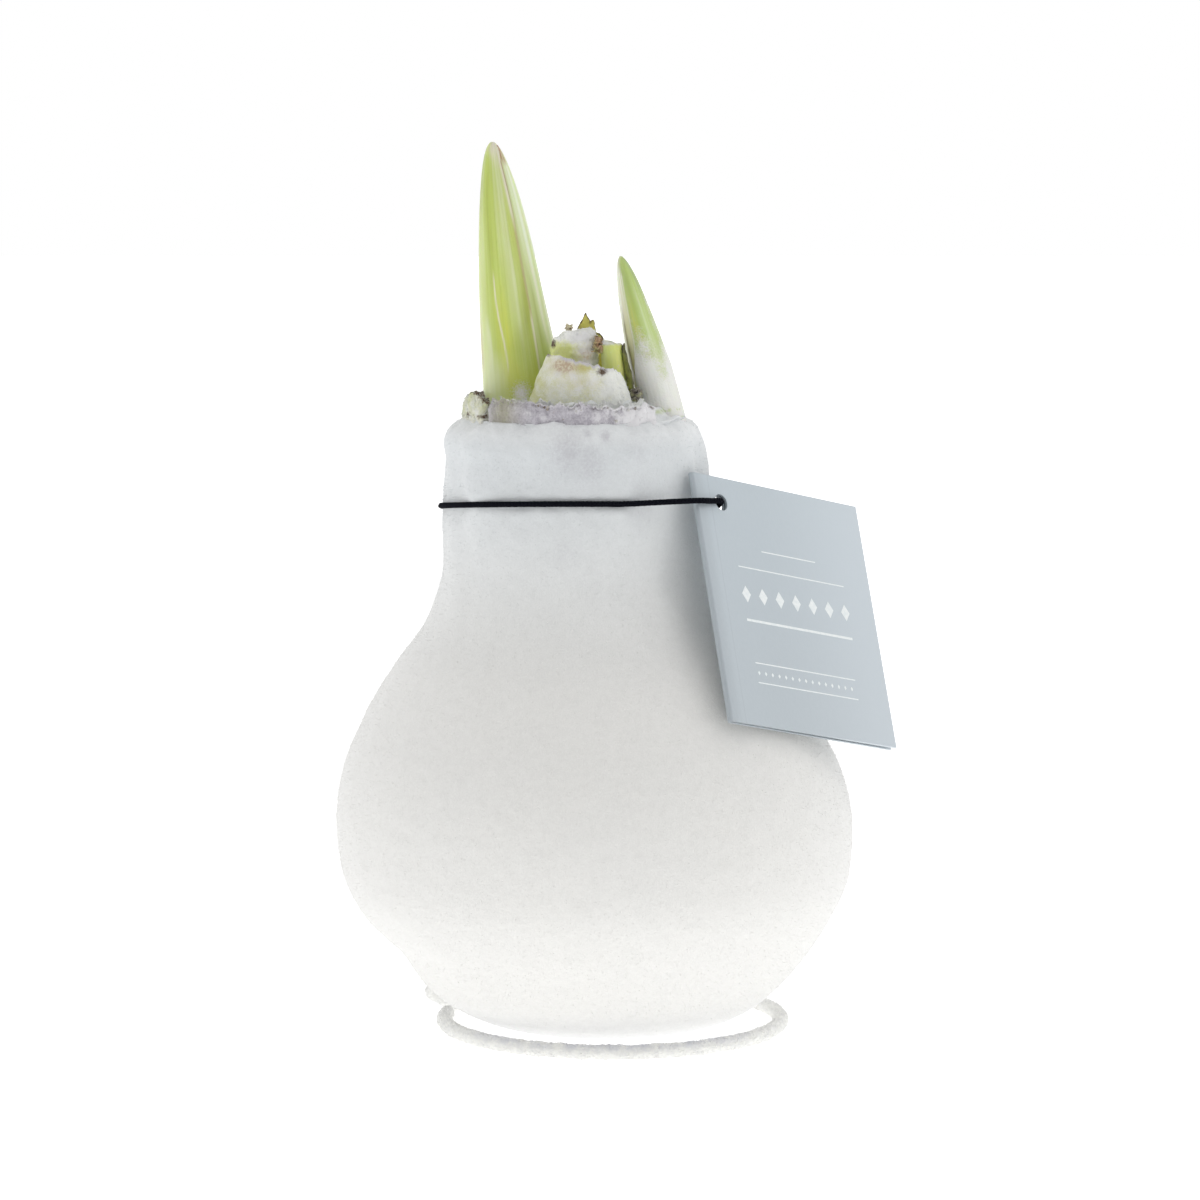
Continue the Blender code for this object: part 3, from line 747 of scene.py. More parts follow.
@dataclass(frozen=True)
class VelvetFinish:
    """White flock over wax: warm base, painted shade darker and cooler at the neck, faint smudges.
    """

    name: str = "velvet_coat"
    neck_shade: Colour = (0.672, 0.700, 0.715)
    warm: Colour = (0.795, 0.790, 0.768)
    base: Colour = (0.88, 0.88, 0.875)
    lip: Colour = (0.750, 0.770, 0.778)
    blotch: Colour = (0.68, 0.685, 0.70)
    smudge: Colour = (0.42, 0.40, 0.44)
    green: Colour = (0.42, 0.50, 0.18)
    grain_mm: float = 0.32
    relief_mm: float = 0.10

    def material(self, effects: SharedEffects) -> Material:
        """Build the material.

        Args:
            effects: shared shader effects.

        Returns:
            The material.
        """
        made = MaterialMaker(self.name, effects)
        wires = made.wires
        here = wires.here()
        height = wires.split(here)[2]
        flock = made.flock(self.grain_mm, 1.1)
        blotches = wires.ramp(wires.grain(here, 45.0, 3.0, 0.55), 0.3, 0.75)
        # Painted shade: the coat turns darker and cooler towards the neck.
        body = wires.layered(self.warm, (wires.ramp(height, 0.060, 0.104), self.neck_shade),
                             (wires.ramp(height, 0.010, 0.002), self.base),
                             (wires.ramp(height, 0.1035, 0.1070), self.lip),
                             (wires.times(blotches, 0.07), self.blotch))
        tone = wires.ramp(flock["Tone"], 0.0, 1.0, 0.965, 1.02)
        tint = wires.first("ShaderNodeCombineColor", {0: tone, 1: tone, 2: tone})
        stain = wires.sum("MULTIPLY", wires.painted("smudge"), 0.75, clamp=True)
        body = wires.layered(wires.mix(1.0, body, tint, "MULTIPLY"),
                             (wires.times(made.broken("smudge", 0.5), stain), self.smudge),
                             (wires.painted("green"), self.green))
        made.set(Base_Color=body, Roughness=0.92, Sheen_Weight=0.6, Sheen_Roughness=0.5,
                 Specular_IOR_Level=0.12)
        return made.relief(flock["Height"], self.relief_mm)


@dataclass(frozen=True)
class LeafFinish:
    """Fresh glossy leaf: streaks, painted light and shade, dry seams, flock where the coat reached
    it.
    """

    name: str
    lit: Colour
    fresh: Colour
    gold: Colour
    # Dark olive, partly painted shade beside the margins and at the foot.
    deep: Colour
    # Pale streaks, partly painted highlights and rim light.
    pale: Colour
    # Cream margins and tips, and painted highlight lines.
    cream: Colour = (0.80, 0.78, 0.58)
    dry: Colour = (0.42, 0.25, 0.15)
    flock: Colour = (0.77, 0.78, 0.74)
    streaks_across: float = 46.0

    def material(self, effects: SharedEffects) -> Material:
        """Build the material.

        Args:
            effects: shared shader effects.

        Returns:
            The material.
        """
        made = MaterialMaker(self.name, effects)
        wires = made.wires
        lines = made.effect(effects.streaks, {"Vector": wires.uv(), "Across": self.streaks_across})
        cover = made.broken("flock", 0.3)
        body = wires.layered(
            self.fresh, (lines["Bands"], self.lit),
            *((wires.painted(label), getattr(self, label)) for label in LEAF_LAYERS),
            (wires.times(lines["Veins"], 0.12), self.pale), (cover, self.flock))
        made.set(Base_Color=body, Roughness=wires.ramp(cover, 0.0, 0.6, 0.34, 0.95),
                 Coat_Weight=wires.ramp(cover, 0.0, 0.5, 0.30, 0.0), Coat_Roughness=0.22,
                 Subsurface_Weight=0.2, Subsurface_Scale=0.004, Specular_IOR_Level=0.45)
        made.shader.inputs["Subsurface Radius"].default_value = (0.6, 1.0, 0.25)
        fuzz = wires.times(made.flock(0.3)["Height"], wires.plus(wires.times(cover, 1.8), 0.03))
        return made.relief(wires.plus(wires.times(lines["Veins"], 0.18), fuzz), 0.10)


@dataclass(frozen=True)
class ScaleFinish:
    """Dead bulb scale or cut leaf: flesh or paper, with flock on it and dry edges."""

    name: str
    body: Colour
    second: Colour
    edge: Colour = (0.120, 0.078, 0.048)
    flock: Colour = (0.75, 0.755, 0.74)
    green: Colour = (0.56, 0.60, 0.25)
    speck: Colour = (0.34, 0.20, 0.12)
    lilac: Colour = (0.56, 0.54, 0.60)
    speck_share: float = 0.75
    speck_tint: float = 0.0
    speck_mm: float = 0.9
    flock_grain_mm: float = 0.3
    relief_mm: float = 0.16

    def material(self, effects: SharedEffects) -> Material:
        """Build the material.

        Args:
            effects: shared shader effects.

        Returns:
            The material.
        """
        made = MaterialMaker(self.name, effects)
        wires = made.wires
        fuzz = made.flock(0.38, 1.7)
        brown, edge = wires.painted("brown"), wires.painted("edge")
        specks = made.effect(effects.speckle, {"Speck mm": self.speck_mm, "Amount": brown})["Mask"]
        share = wires.ramp(specks, 0.0, 1.0, self.speck_tint, self.speck_share)
        rim = wires.times(made.broken("edge", 0.4), wires.ramp(edge, 0.02, 0.35))
        body = wires.layered(
            self.body, (wires.ramp(fuzz["Tone"], 0.2, 0.8), self.second),
            (wires.painted("green"), self.green),
            (made.broken("flock", self.flock_grain_mm), self.flock),
            (wires.times(share, brown), self.speck), (wires.painted("lilac"), self.lilac),
            (rim, self.edge))
        made.set(Base_Color=body, Roughness=0.86, Sheen_Weight=0.3, Sheen_Roughness=0.5,
                 Specular_IOR_Level=0.2)
        return made.relief(fuzz["Height"], self.relief_mm)


@dataclass(frozen=True)
class CardFinish:
    """Satin silver card: fine brushed tone, painted light and shade, plain pale core at its cut
    edges.
    """

    name: str = "tag_card"
    face: Colour = (0.492, 0.550, 0.590)
    low: Colour = (0.475, 0.525, 0.560)
    # Painted light, lighter towards the right side.
    lit_right_side: Colour = (0.740, 0.800, 0.850)
    # Painted shade over the fold strip; the same colour draws a thin line along the score.
    crease: Colour = (0.385, 0.425, 0.455)
    brushed: Colour = (0.66, 0.70, 0.73)

    def material(self, effects: SharedEffects) -> Material:
        """Build the face's material.

        Args:
            effects: shared shader effects.

        Returns:
            The material.
        """
        made = MaterialMaker(self.name, effects)
        wires = made.wires
        across, along, _ = wires.split(wires.uv())
        tone = wires.grain(wires.vector("MULTIPLY", wires.here(), (1.0, 1.0, 0.25)), 2600.0, 3.0)
        score = wires.sum("ABSOLUTE", wires.minus(across, 0.088))
        # Darker towards the bottom, painted light towards the right, painted shade over the fold
        # strip, and a darker line along the score.
        body = wires.layered(
            self.low, (wires.ramp(along, 0.0, 1.0), self.face),
            (wires.ramp(across, 0.3, 1.1, 0.0, 0.35), self.lit_right_side),
            (wires.ramp(across, 0.085, 0.02, 0.0, 0.55), self.crease),
            (wires.ramp(score, 0.004, 0.0, 0.0, 0.4), self.crease),
            (wires.times(wires.ramp(tone, 0.3, 0.7), 0.10), self.brushed))
        made.set(Base_Color=body, Roughness=wires.ramp(tone, 0.2, 0.8, 0.36, 0.46), Metallic=0.35,
                 Specular_IOR_Level=0.45)
        return made.relief(tone, 0.006)


@dataclass(frozen=True)
class PlainFinish:
    """Matte surface of two tones in a fine grain."""

    name: str
    dark: Colour
    light: Colour
    roughness: float
    relief_mm: float
    grains_per_metre: float
    grain_roughness: float = 0.5
    tones: Pair = (0.3, 0.7)
    gloss: float = 0.5

    def material(self, effects: SharedEffects) -> Material:
        """Build the material.

        Args:
            effects: shared shader effects.

        Returns:
            The material.
        """
        made = MaterialMaker(self.name, effects)
        wires = made.wires
        tone = wires.grain(wires.here(), self.grains_per_metre, 2.0, self.grain_roughness)
        made.set(Base_Color=wires.mix(wires.ramp(tone, *self.tones), self.dark, self.light),
                 Roughness=self.roughness, Specular_IOR_Level=self.gloss)
        return made.relief(tone, self.relief_mm)


@dataclass(frozen=True)
class FlockedWireFinish:
    """Wire under coarse flock, with grey-blue painted shade in patches on its top towards the
    front.
    """

    name: str = "flocked_wire"
    light: Colour = (0.95, 0.95, 0.92)
    top_shade: Colour = (0.66, 0.67, 0.73)
    pit: Colour = (0.78, 0.78, 0.79)

    def material(self, effects: SharedEffects) -> Material:
        """Build the material.

        Args:
            effects: shared shader effects.

        Returns:
            The material.
        """
        made = MaterialMaker(self.name, effects)
        wires = made.wires
        here = wires.here()
        fuzz = made.flock(0.45, 1.5)
        _, way, height = wires.split(here)
        # Painted shade in patches on the top of the wire, strongest at the front.
        top = wires.times(wires.ramp(height, 0.0012, 0.0027), wires.ramp(height, 0.0042, 0.0030))
        patch = wires.times(wires.ramp(wires.grain(here, 260.0, 3.0, 0.7), 0.35, 0.6),
                            wires.ramp(way, -0.014, -0.027, 0.12, 0.85))
        body = wires.layered(self.light, (wires.times(top, patch), self.top_shade),
                             (wires.ramp(fuzz["Tone"], 0.2, 0.7, 0.45, 0.0), self.pit))
        made.set(Base_Color=body, Roughness=0.95, Sheen_Weight=0.35, Sheen_Roughness=0.5,
                 Specular_IOR_Level=0.1)
        return made.relief(fuzz["Height"], 0.22)


class Makers:
    """Geometry node trees for what repeats on a surface or follows a path."""

    def __init__(self) -> None:
        """Build the trees."""
        self.fibres = self.build_fibres()
        self.grains = self.build_grains()
        self.braid = self.build_braid()
        self.motifs = self.build_motifs()

    @staticmethod
    def start(name: str, *inputs: tuple[str, str, Any]) -> tuple[Wiring, Any, Node]:
        """Start a tree with a geometry, further inputs and a material.

        Args:
            name: name of the tree.
            inputs: name, socket type and value of each further input.

        Returns:
            The tree's wiring, what its input node gives and its output node.
        """
        return new_group(name, "GeometryNodeTree", [
            ("Geometry", GEOMETRY, None), *inputs, ("Material", MATERIAL, None)],
            [("Geometry", GEOMETRY)])

    @staticmethod
    def scatter(wires: Wiring, given: Any, label: str) -> Any:
        """Outputs of a node that puts points on a surface, where its painted layer allows.

        Args:
            wires: wiring of the tree.
            given: what its input node gives.
            label: name of the painted layer.

        Returns:
            The node's outputs.
        """
        mask = wires.first("GeometryNodeInputNamedAttribute", {"Name": label}, data_type="FLOAT")
        return wires.add("GeometryNodeDistributePointsOnFaces", {
            "Mesh": given["Geometry"], "Density": wires.times(given["Density"], mask),
            "Seed": given["Seed"]}).outputs

    @staticmethod
    def stand(wires: Wiring, points: Any, shape: Socket, rotation: Any, scale: Any) -> Socket:
        """Put a shape on each point."""
        return wires.first("GeometryNodeInstanceOnPoints", {
            "Points": points, "Instance": shape, "Rotation": rotation, "Scale": scale})

    @staticmethod
    def end(wires: Wiring, given: Any, out: Node, made: Socket, smooth: bool = False) -> Tree:
        """End a tree with plain faces in its material.

        Args:
            wires: wiring of the tree.
            given: what its input node gives.
            out: its output node.
            made: geometry that the tree made.
            smooth: whether the faces are shaded smooth.

        Returns:
            The tree.
        """
        whole = wires.first("GeometryNodeRealizeInstances", {0: made})
        if smooth:
            whole = wires.first("GeometryNodeSetShadeSmooth", {0: whole})
        wires.put(out, 0, wires.first("GeometryNodeSetMaterial", {
            "Geometry": whole, "Material": given["Material"]}))
        return wires.tree

    def build_fibres(self) -> Tree:
        """Short tapered fibres that stand on a surface, where its painted layer allows.

        Returns:
            The tree.
        """
        wires, given, out = self.start(
            "standing_fibres", ("Density", FLOAT, 1.0), ("Length", FLOAT, 0.4),
            ("Radius", FLOAT, 0.04), ("Tilt", FLOAT, 0.5), ("Seed", INTEGER, 1))
        points = self.scatter(wires, given, "fibres")
        fibre = wires.first("GeometryNodeMeshCone", {
            "Vertices": 3, "Radius Top": 0.0, "Radius Bottom": given["Radius"],
            "Depth": given["Length"]})
        low, high = wires.times(given["Tilt"], -1.0), given["Tilt"]
        lean = wires.first("FunctionNodeRandomValue", {
            0: wires.xyz(low, low, low), 1: wires.xyz(high, high, 3.0), "Seed": given["Seed"]},
            data_type="FLOAT_VECTOR")
        rotation = wires.first("FunctionNodeRotateEuler", {0: points["Rotation"], 1: lean},
                               rotation_type="EULER", space="LOCAL")
        size = wires.add("FunctionNodeRandomValue", {2: 0.5, 3: 1.1}, data_type="FLOAT").outputs[1]
        made = self.stand(wires, points["Points"], fibre, rotation, size)
        return self.end(wires, given, out, made)

    def build_grains(self) -> Tree:
        """Small lumps on a surface, where its painted layer allows.

        Returns:
            The tree.
        """
        wires, given, out = self.start(
            "scattered_grains", ("Density", FLOAT, 1.0), ("Smallest", FLOAT, 0.1),
            ("Largest", FLOAT, 0.2), ("Flatness", FLOAT, 0.6), ("Seed", INTEGER, 1))
        points = self.scatter(wires, given, "grains")
        lump = wires.first("GeometryNodeMeshIcoSphere", {"Radius": 1.0, "Subdivisions": 1})
        size = wires.add("FunctionNodeRandomValue", {
            2: given["Smallest"], 3: given["Largest"], "Seed": given["Seed"]},
            data_type="FLOAT").outputs[1]
        scale = wires.xyz(size, size, wires.times(size, given["Flatness"]))
        made = self.stand(wires, points["Points"], lump, points["Rotation"], scale)
        return self.end(wires, given, out, made, smooth=True)

    def build_braid(self) -> Tree:
        """Braided cord along a path: yarns that wind both ways round a core.

        Returns:
            The tree.
        """
        wires, given, out = self.start(
            "braided_cord", ("Yarns", INTEGER, 8), ("Pitch", FLOAT, 2.4),
            ("Winding radius", FLOAT, 0.36), ("Yarn radius", FLOAT, 0.19), ("Weave", FLOAT, 0.05),
            ("Step", FLOAT, 0.25))
        path = wires.first("GeometryNodeResampleCurve", {
            "Curve": given["Geometry"], "Length": given["Step"]}, mode="LENGTH")
        yarns = wires.add("GeometryNodeDuplicateElements", {
            "Geometry": path, "Amount": given["Yarns"]}, domain="SPLINE").outputs
        number = yarns["Duplicate Index"]
        hand = wires.minus(wires.times(wires.sum("MODULO", number, 2.0), 2.0), 1.0)
        pairs = wires.over(given["Yarns"], 2.0)
        phase = wires.times(wires.sum("FLOOR", wires.over(number, 2.0)),
                            wires.over(FULL_TURN, pairs))
        run = wires.add("GeometryNodeSplineParameter").outputs["Length"]
        turns = wires.times(wires.over(run, given["Pitch"]), FULL_TURN)
        angle = wires.plus(wires.times(turns, hand), phase)
        weave = wires.times(wires.sum("SINE", wires.times(turns, pairs)),
                            wires.times(given["Weave"], hand))
        reach = wires.plus(given["Winding radius"], weave)
        normal = wires.first("GeometryNodeInputNormal")
        side = wires.vector("CROSS_PRODUCT", wires.first("GeometryNodeInputTangent"), normal)
        offset = wires.vector(
            "ADD", wires.scaled(normal, wires.times(reach, wires.sum("COSINE", angle))),
            wires.scaled(side, wires.times(reach, wires.sum("SINE", angle))))
        wound = wires.first("GeometryNodeSetPosition", {"Geometry": yarns["Geometry"],
                                                        "Offset": offset})
        both = wires.add("GeometryNodeJoinGeometry")
        for line, sides, radius in ((path, 10, "Winding radius"), (wound, 6, "Yarn radius")):
            ring = wires.first("GeometryNodeCurvePrimitiveCircle", {
                "Resolution": sides, "Radius": given[radius]})
            wires.put(both, 0, wires.first("GeometryNodeCurveToMesh", {
                "Curve": line, "Profile Curve": ring}))
        return self.end(wires, given, out, both.outputs[0], smooth=True)

    def build_motifs(self) -> Tree:
        """Row of equal plates along a line.

        Returns:
            The tree.
        """
        wires, given, out = self.start(
            "row_of_plates", ("Count", INTEGER, 5), ("Spacing", FLOAT, 3.0),
            ("Size", FLOAT, 1.0), ("Thickness", FLOAT, 0.03))
        line = wires.first("GeometryNodeMeshLine", {
            "Count": given["Count"], "Offset": wires.xyz(given["Spacing"])}, mode="OFFSET")
        plate = wires.first("GeometryNodeMeshCylinder", {
            "Vertices": 4, "Radius": given["Size"], "Depth": given["Thickness"]})
        made = self.stand(wires, line, plate, (math.pi / 2, 0.0, 0.0), (0.72, 1.0, 1.0))
        return self.end(wires, given, out, made)

    @staticmethod
    def run(tree: Tree, data: Any, values: dict[str, Any]) -> Mesh:
        """Run a tree on a mesh or curve and give the plain mesh that it makes.

        Args:
            tree: the tree.
            data: mesh or curve that goes in.
            values: values of its named inputs.

        Returns:
            The mesh, in metres.
        """
        carrier = linked("carrier", data)
        modifier = carrier.modifiers.new("maker", "NODES")
        modifier.node_group = tree
        for item in tree.interface.items_tree:
            if item.in_out == "INPUT" and item.name in values:
                modifier[item.identifier] = values[item.name]
        return taken_from(carrier)


@dataclass
class Workshop:
    """What every piece is made with: the finishes' materials and the node trees."""

    materials: dict[str, Material]
    makers: Makers

    def fibres(self, data: Mesh, density: float, length: float, radius: float, tilt: float,
               seed: int, finish: str = "velvet") -> Mesh:
        """Flock fibres on a mesh, as thick as its painted layer says.

        Args:
            data: the mesh.
            density: fibres on a square metre.
            length: their length.
            radius: their radius at the foot.
            tilt: how far they lean, in radians.
            seed: seed of their places.
            finish: name of their finish.

        Returns:
            The fibres.
        """
        return self.makers.run(self.makers.fibres, data.copy(), {
            "Density": density, "Length": length * MM, "Radius": radius * MM, "Tilt": tilt,
            "Seed": seed, "Material": self.materials[finish]})

    def grains(self, data: Mesh, density: float, sizes: Pair, flatness: float, seed: int,
               finish: str = "crumb") -> Mesh:
        """Grains on a mesh, as thick as its painted layer says.

        Args:
            data: the mesh.
            density: grains on a square metre.
            sizes: smallest and largest radius.
            flatness: height of a grain as a share of its radius.
            seed: seed of their places and sizes.
            finish: name of their finish.

        Returns:
            The grains.
        """
        return self.makers.run(self.makers.grains, data.copy(), {
            "Density": density, "Smallest": sizes[0] * MM, "Largest": sizes[1] * MM,
            "Flatness": flatness, "Seed": seed, "Material": self.materials[finish]})

    def show(self, name: str, data: Mesh, finishes: str, node: str = "") -> None:
        """Put a finished mesh in the scene as a piece of the object.

        Args:
            name: name of the piece.
            data: its mesh, with its place in it.
            finishes: names of its finishes, in the order of the faces' material indices.
            node: CAD node that it stands for, if any.
        """
        data.name = name
        data.materials.clear()
        for finish in finishes.split():
            data.materials.append(self.materials[finish])
        piece = linked(name, data)
        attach(piece, "root")
        if node:
            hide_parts(node)
        LOG.info("%s: %d faces, stands for %s", name, len(data.polygons), node or "itself")


@dataclass
class CoatedBulb:
    """Pear-shaped bulb under its coat, with the crown that the leaves stand in."""

    side: tuple[Pair, ...] = (
        (20.0, 108.6), (20.8, 108.0), (21.8, 106.4), (22.5, 104.0), (22.8, 101.4), (23.2, 98.6),
        (23.5, 95.0), (23.65, 90.0), (23.8, 85.0), (24.5, 80.0), (27.9, 72.3), (33.8, 64.4),
        (39.1, 56.4), (43.2, 48.4), (45.1, 41.5), (45.5, 35.0), (44.5, 27.0), (41.2, 20.0),
        (37.1, 14.2), (32.6, 9.2), (27.5, 4.9), (22.0, 2.2), (17.0, 1.1), (13.8, 0.5), (11.0, 0.0),
    )
    height: float = 108.6
    lean_at_top: float = -5.6
    lean_power: float = 0.8
    # Dents and swellings as (direction, height, rise, spread in height)
    dents: tuple[tuple[float, float, float, float], ...] = (
        (184.0, 13.6, -2.3, 3.4), (300.0, 30.0, 0.5, 8.0), (60.0, 50.0, 0.5, 8.0))
    dent_width: float = 26.0
    unevenness: float = 0.35
    uneven_scale: float = 28.0
    # The turned outline is uneven between these heights, which fade in over these lengths
    uneven_from: Pair = (6.0, 10.0)
    uneven_to: Pair = (84.0, 14.0)
    crown_height: float = 107.5
    crown_radius: float = 19.3
    crown_rings: int = 40
    heap_direction: float = -62.0
    lip_from: float = 104.5
    columns: int = 288
    cord_height: float = 92.7
    cord_rise: float = 0.108
    cord_leaves: float = 288.0
    cord_meets: float = -12.0
    # Smudges of the coat as (direction, height, width, strength)
    smudges: tuple[tuple[float, float, float, float], ...] = (
        (-97.0, 86.5, 3.4, 0.38), (-84.0, 80.0, 4.5, 0.28), (-76.0, 106.9, 1.3, 0.85),
        (-84.0, 107.6, 1.4, 0.7), (-93.0, 104.3, 4.5, 0.65), (-84.0, 102.0, 4.2, 0.6),
        (-62.0, 103.2, 3.2, 0.4), (-48.0, 104.8, 3.0, 0.3), (-62.0, 97.0, 4.0, 0.4),
        (-120.0, 107.0, 1.4, 0.3), (-72.0, 66.0, 4.0, 0.2), (-56.0, 106.2, 1.8, 0.3),
    )

    def lean(self, height: Any) -> Any:
        """Sideways place of the axis at a height."""
        return self.lean_at_top * (np.maximum(height, 0.0) / self.height) ** self.lean_power

    def side_radius(self, height: float) -> float:
        """Radius of the turned outline at a height above the widest place.

        Args:
            height: the height.

        Returns:
            The radius.
        """
        for (upper, high), (lower, low) in zip(self.side, self.side[1:]):
            if high >= height >= low:
                return upper + (lower - upper) * (high - height) / (high - low)
        raise ValueError(f"no outline at {height}")

    def shift(self, angle: float, height: float) -> float:
        """How far the coat stands out from the turned outline, as in the solids.

        Args:
            angle: direction.
            height: height.

        Returns:
            The distance.
        """
        shift = 0.0
        for middle, level, rise, spread in self.dents:
            reach = (wrapped(angle - middle) / self.dent_width) ** 2
            shift += rise * math.exp(-(reach + ((height - level) / spread) ** 2) / 2)
        fade = max(0.0, min(1.0, (height - self.uneven_from[0]) / self.uneven_from[1],
                            (self.uneven_to[0] - height) / self.uneven_to[1]))
        around = direction(angle)
        spot = Vector((around.x, around.y, height / self.uneven_scale))
        return shift * fade + self.unevenness * fade * noise.noise(spot)

    @staticmethod
    def neck_fullness(angle: Array, height: float) -> Array:
        """How much fuller than the turned outline the neck is, at its left most of all.

        Args:
            angle: directions.
            height: height.

        Returns:
            The distances.
        """
        under_lip = smooth_step(height, 108.3, 106.2)
        whole = 0.45 * smooth_step(height, 71.0, 80.0)
        swell = 0.75 * math.exp(-((height - 104.7) / 2.6) ** 2)
        round_off = smooth_step(height, 106.4, 108.6)
        return hump((angle, 180.0, 55.0)) * (whole + swell) * under_lip + hump(
            (wrapped(angle), 0.0, 60.0)) * (
                0.3 * math.exp(-((height - 102.0) / 3.0) ** 2) - round_off)

    def outline(self) -> list[Pair]:
        """Fine outline from the top of the coat's lip down to the flat spot.

        Returns:
            Points of radius and height.
        """
        path = smooth_path([Vector(point) for point in self.side], 0.3)
        result, last = [], None
        for point in path:
            near_cord = abs(point.y - self.cord_height) < 4.5
            step = 0.32 if near_cord or point.y > 103.0 else 0.85
            if last is None or (point - last).length >= step or point is path[-1]:
                result.append((point.x, point.y))
                last = point
        return result

    def cord_groove(self, angle: Array, height: float) -> Array:
        """Depth of the soft groove that the cord presses into the coat.

        Args:
            angle: directions.
            height: height.

        Returns:
            The depths.
        """
        radius = self.side_radius(self.cord_height)
        line = self.cord_height - np.sin(np.radians(angle)) * radius * self.cord_rise
        away = (angle - self.cord_leaves) % 360.0
        gap = (self.cord_meets - self.cord_leaves) % 360.0
        inside = np.where(away < gap, np.minimum(away, gap - away) / 10.0, 0.0)
        hold = (1.0 - np.clip(inside, 0.0, 1.0)) * (1.0 - hump((angle, 183.0, 40.0)))
        offset = height - line
        return hold * (0.5 * hump((offset, 0.0, 0.75)) - 0.10 * hump((np.abs(offset), 1.6, 0.8)))

    def crown(self, columns: Array) -> tuple[Array, Array]:
        """Grid of the crown inside the lip, from its middle outwards.

        Args:
            columns: directions of the columns.

        Returns:
            The grid, and how far each place is under white flock.
        """
        radii = np.concatenate([np.linspace(0.8, 18.6, self.crown_rings),
                                [19.0, self.crown_radius]])
        angle, radius = np.meshgrid(columns, radii)
        x = np.cos(np.radians(angle)) * radius
        y = np.sin(np.radians(angle)) * radius
        layers = 0.55 * np.abs(np.sin(radius * 1.25 + 0.5 * waves(np.stack([x, y], -1), 9.0, 4)))
        z = self.crown_height - 0.4 + layers * smooth_step(radius, 18.8, 16.0)
        turn = np.abs(wrapped(angle - self.heap_direction))
        heap = smooth_step(turn, 62.0, 38.0) * smooth_step(radius, 6.0, 9.5)
        rise = 3.6 * smooth_step(radius, 18.4, 9.0) + 1.2 * smooth_step(radius, 19.3, 17.6)
        lumps = 0.30 * waves(np.stack([x, y, np.full(z.shape, 3.0)], -1), 3.4, 11)
        z = z + heap * (rise + lumps * smooth_step(radius, 19.2, 17.5))
        z = z + hump((x, 15.0, 4.0), (y, -6.8, 1.8))
        z = z + 1.35 * smooth_step(radius, 18.2, 18.9)
        white = np.maximum(heap, smooth_step(radius, 17.6, 18.8))
        return np.stack([x + self.lean(z), y, z], -1), white

    def ring(self, radius: float, height: float, columns: Array) -> Array:
        """Ring of the coat's outside with its dents, puckers and lip.

        Args:
            radius: radius of the turned outline.
            height: its height.
            columns: directions of the ring's places.

        Returns:
            The places.
        """
        moved = np.array([self.shift(angle if angle <= 180 else angle - 360, height)
                          for angle in columns]) if radius > self.side[-1][0] else 0.0
        reach = radius + moved - self.cord_groove(columns, height)
        reach = reach + self.neck_fullness(columns, height)
        around = np.stack([np.cos(np.radians(columns)), np.sin(np.radians(columns))], -1)
        spot = np.concatenate([around * reach[:, None], np.full((len(columns), 1), height)], 1)
        if height > 3.0:
            press = 0.05 + 0.17 * smooth_step(height, 60.0, 96.0)
            soft = press * (waves(spot * (1.0, 1.0, 0.7), 11.0, 21) - 1.5)
            soft += 0.035 * (waves(spot, 3.2, 22) - 1.5)
            spot[:, :2] += around * (soft * min(1.0, height / 12.0))[:, None]
        if height > self.lip_from:
            near = smooth_step(height, self.lip_from, 108.4)
            spot[:, 2] += near * (0.17 * waves(spot * (1, 1, 0), 5.2, 23)
                                  + 0.07 * waves(spot * (1, 1, 0), 1.6, 24))
            spot[:, :2] += around * (near * 0.10 * waves(spot * (1, 1, 0), 3.0, 25))[:, None]
            spot[:, 2] -= 0.6 * np.abs(around[:, 0]) * smooth_step(height, 106.8, 108.6)
        spot[:, 0] += self.lean(np.full(len(columns), height))
        return spot

    def build(self) -> Mesh:
        """Make the mesh of the coat and the crown in one closed body, with bare flesh second.

        Returns:
            The mesh.
        """
        columns = np.arange(self.columns) * 360.0 / self.columns
        crown, white = self.crown(columns)
        rings = [self.ring(radius, height, columns) for radius, height in self.outline()]
        data = tube("coated_bulb", np.concatenate([crown, np.stack(rings)]), end=np.zeros(3),
                    sharp=80.0)
        cover = np.concatenate([white.ravel(), np.ones(len(data.vertices) - white.size)])
        self.colour(data, cover)
        starts = np.empty(len(data.polygons), dtype=np.int32)
        data.polygons.foreach_get("loop_start", starts)
        bare = cover[corners(data)[starts]] < 0.5
        index = np.zeros(len(starts), dtype=np.int32)
        flesh = (len(crown) - 3) * self.columns
        index[:flesh] = bare[:flesh]
        index[-2 * self.columns:-self.columns] = 1
        data.polygons.foreach_set("material_index", index)
        return data

    def colour(self, data: Mesh, cover: Array) -> None:
        """Paint the smudges, the green crease and where fibres stand.

        Args:
            data: mesh of the coat and the crown.
            cover: how far each of its points is under white flock.
        """
        spots = places(data)
        smudge = np.zeros(len(spots))
        for angle, height, width, strength in self.smudges:
            turn, reach = direction(angle), self.side_radius(height)
            centre = np.array([turn.x * reach + self.lean(height), turn.y * reach, height])
            away = np.linalg.norm((spots - centre) * (1.0, 1.0, 0.75), axis=1) / width
            smudge = np.maximum(smudge, strength * np.exp(-away ** 2))
        smudge += 0.10 * smooth_step(waves(spots, 13.0, 31), 0.6, 1.8)
        x, y, z = spots.T
        turn = np.degrees(np.arctan2(y, x - self.lean_at_top))
        band = smooth_step(turn, -150.0, -138.0) * smooth_step(turn, -66.0, -92.0)
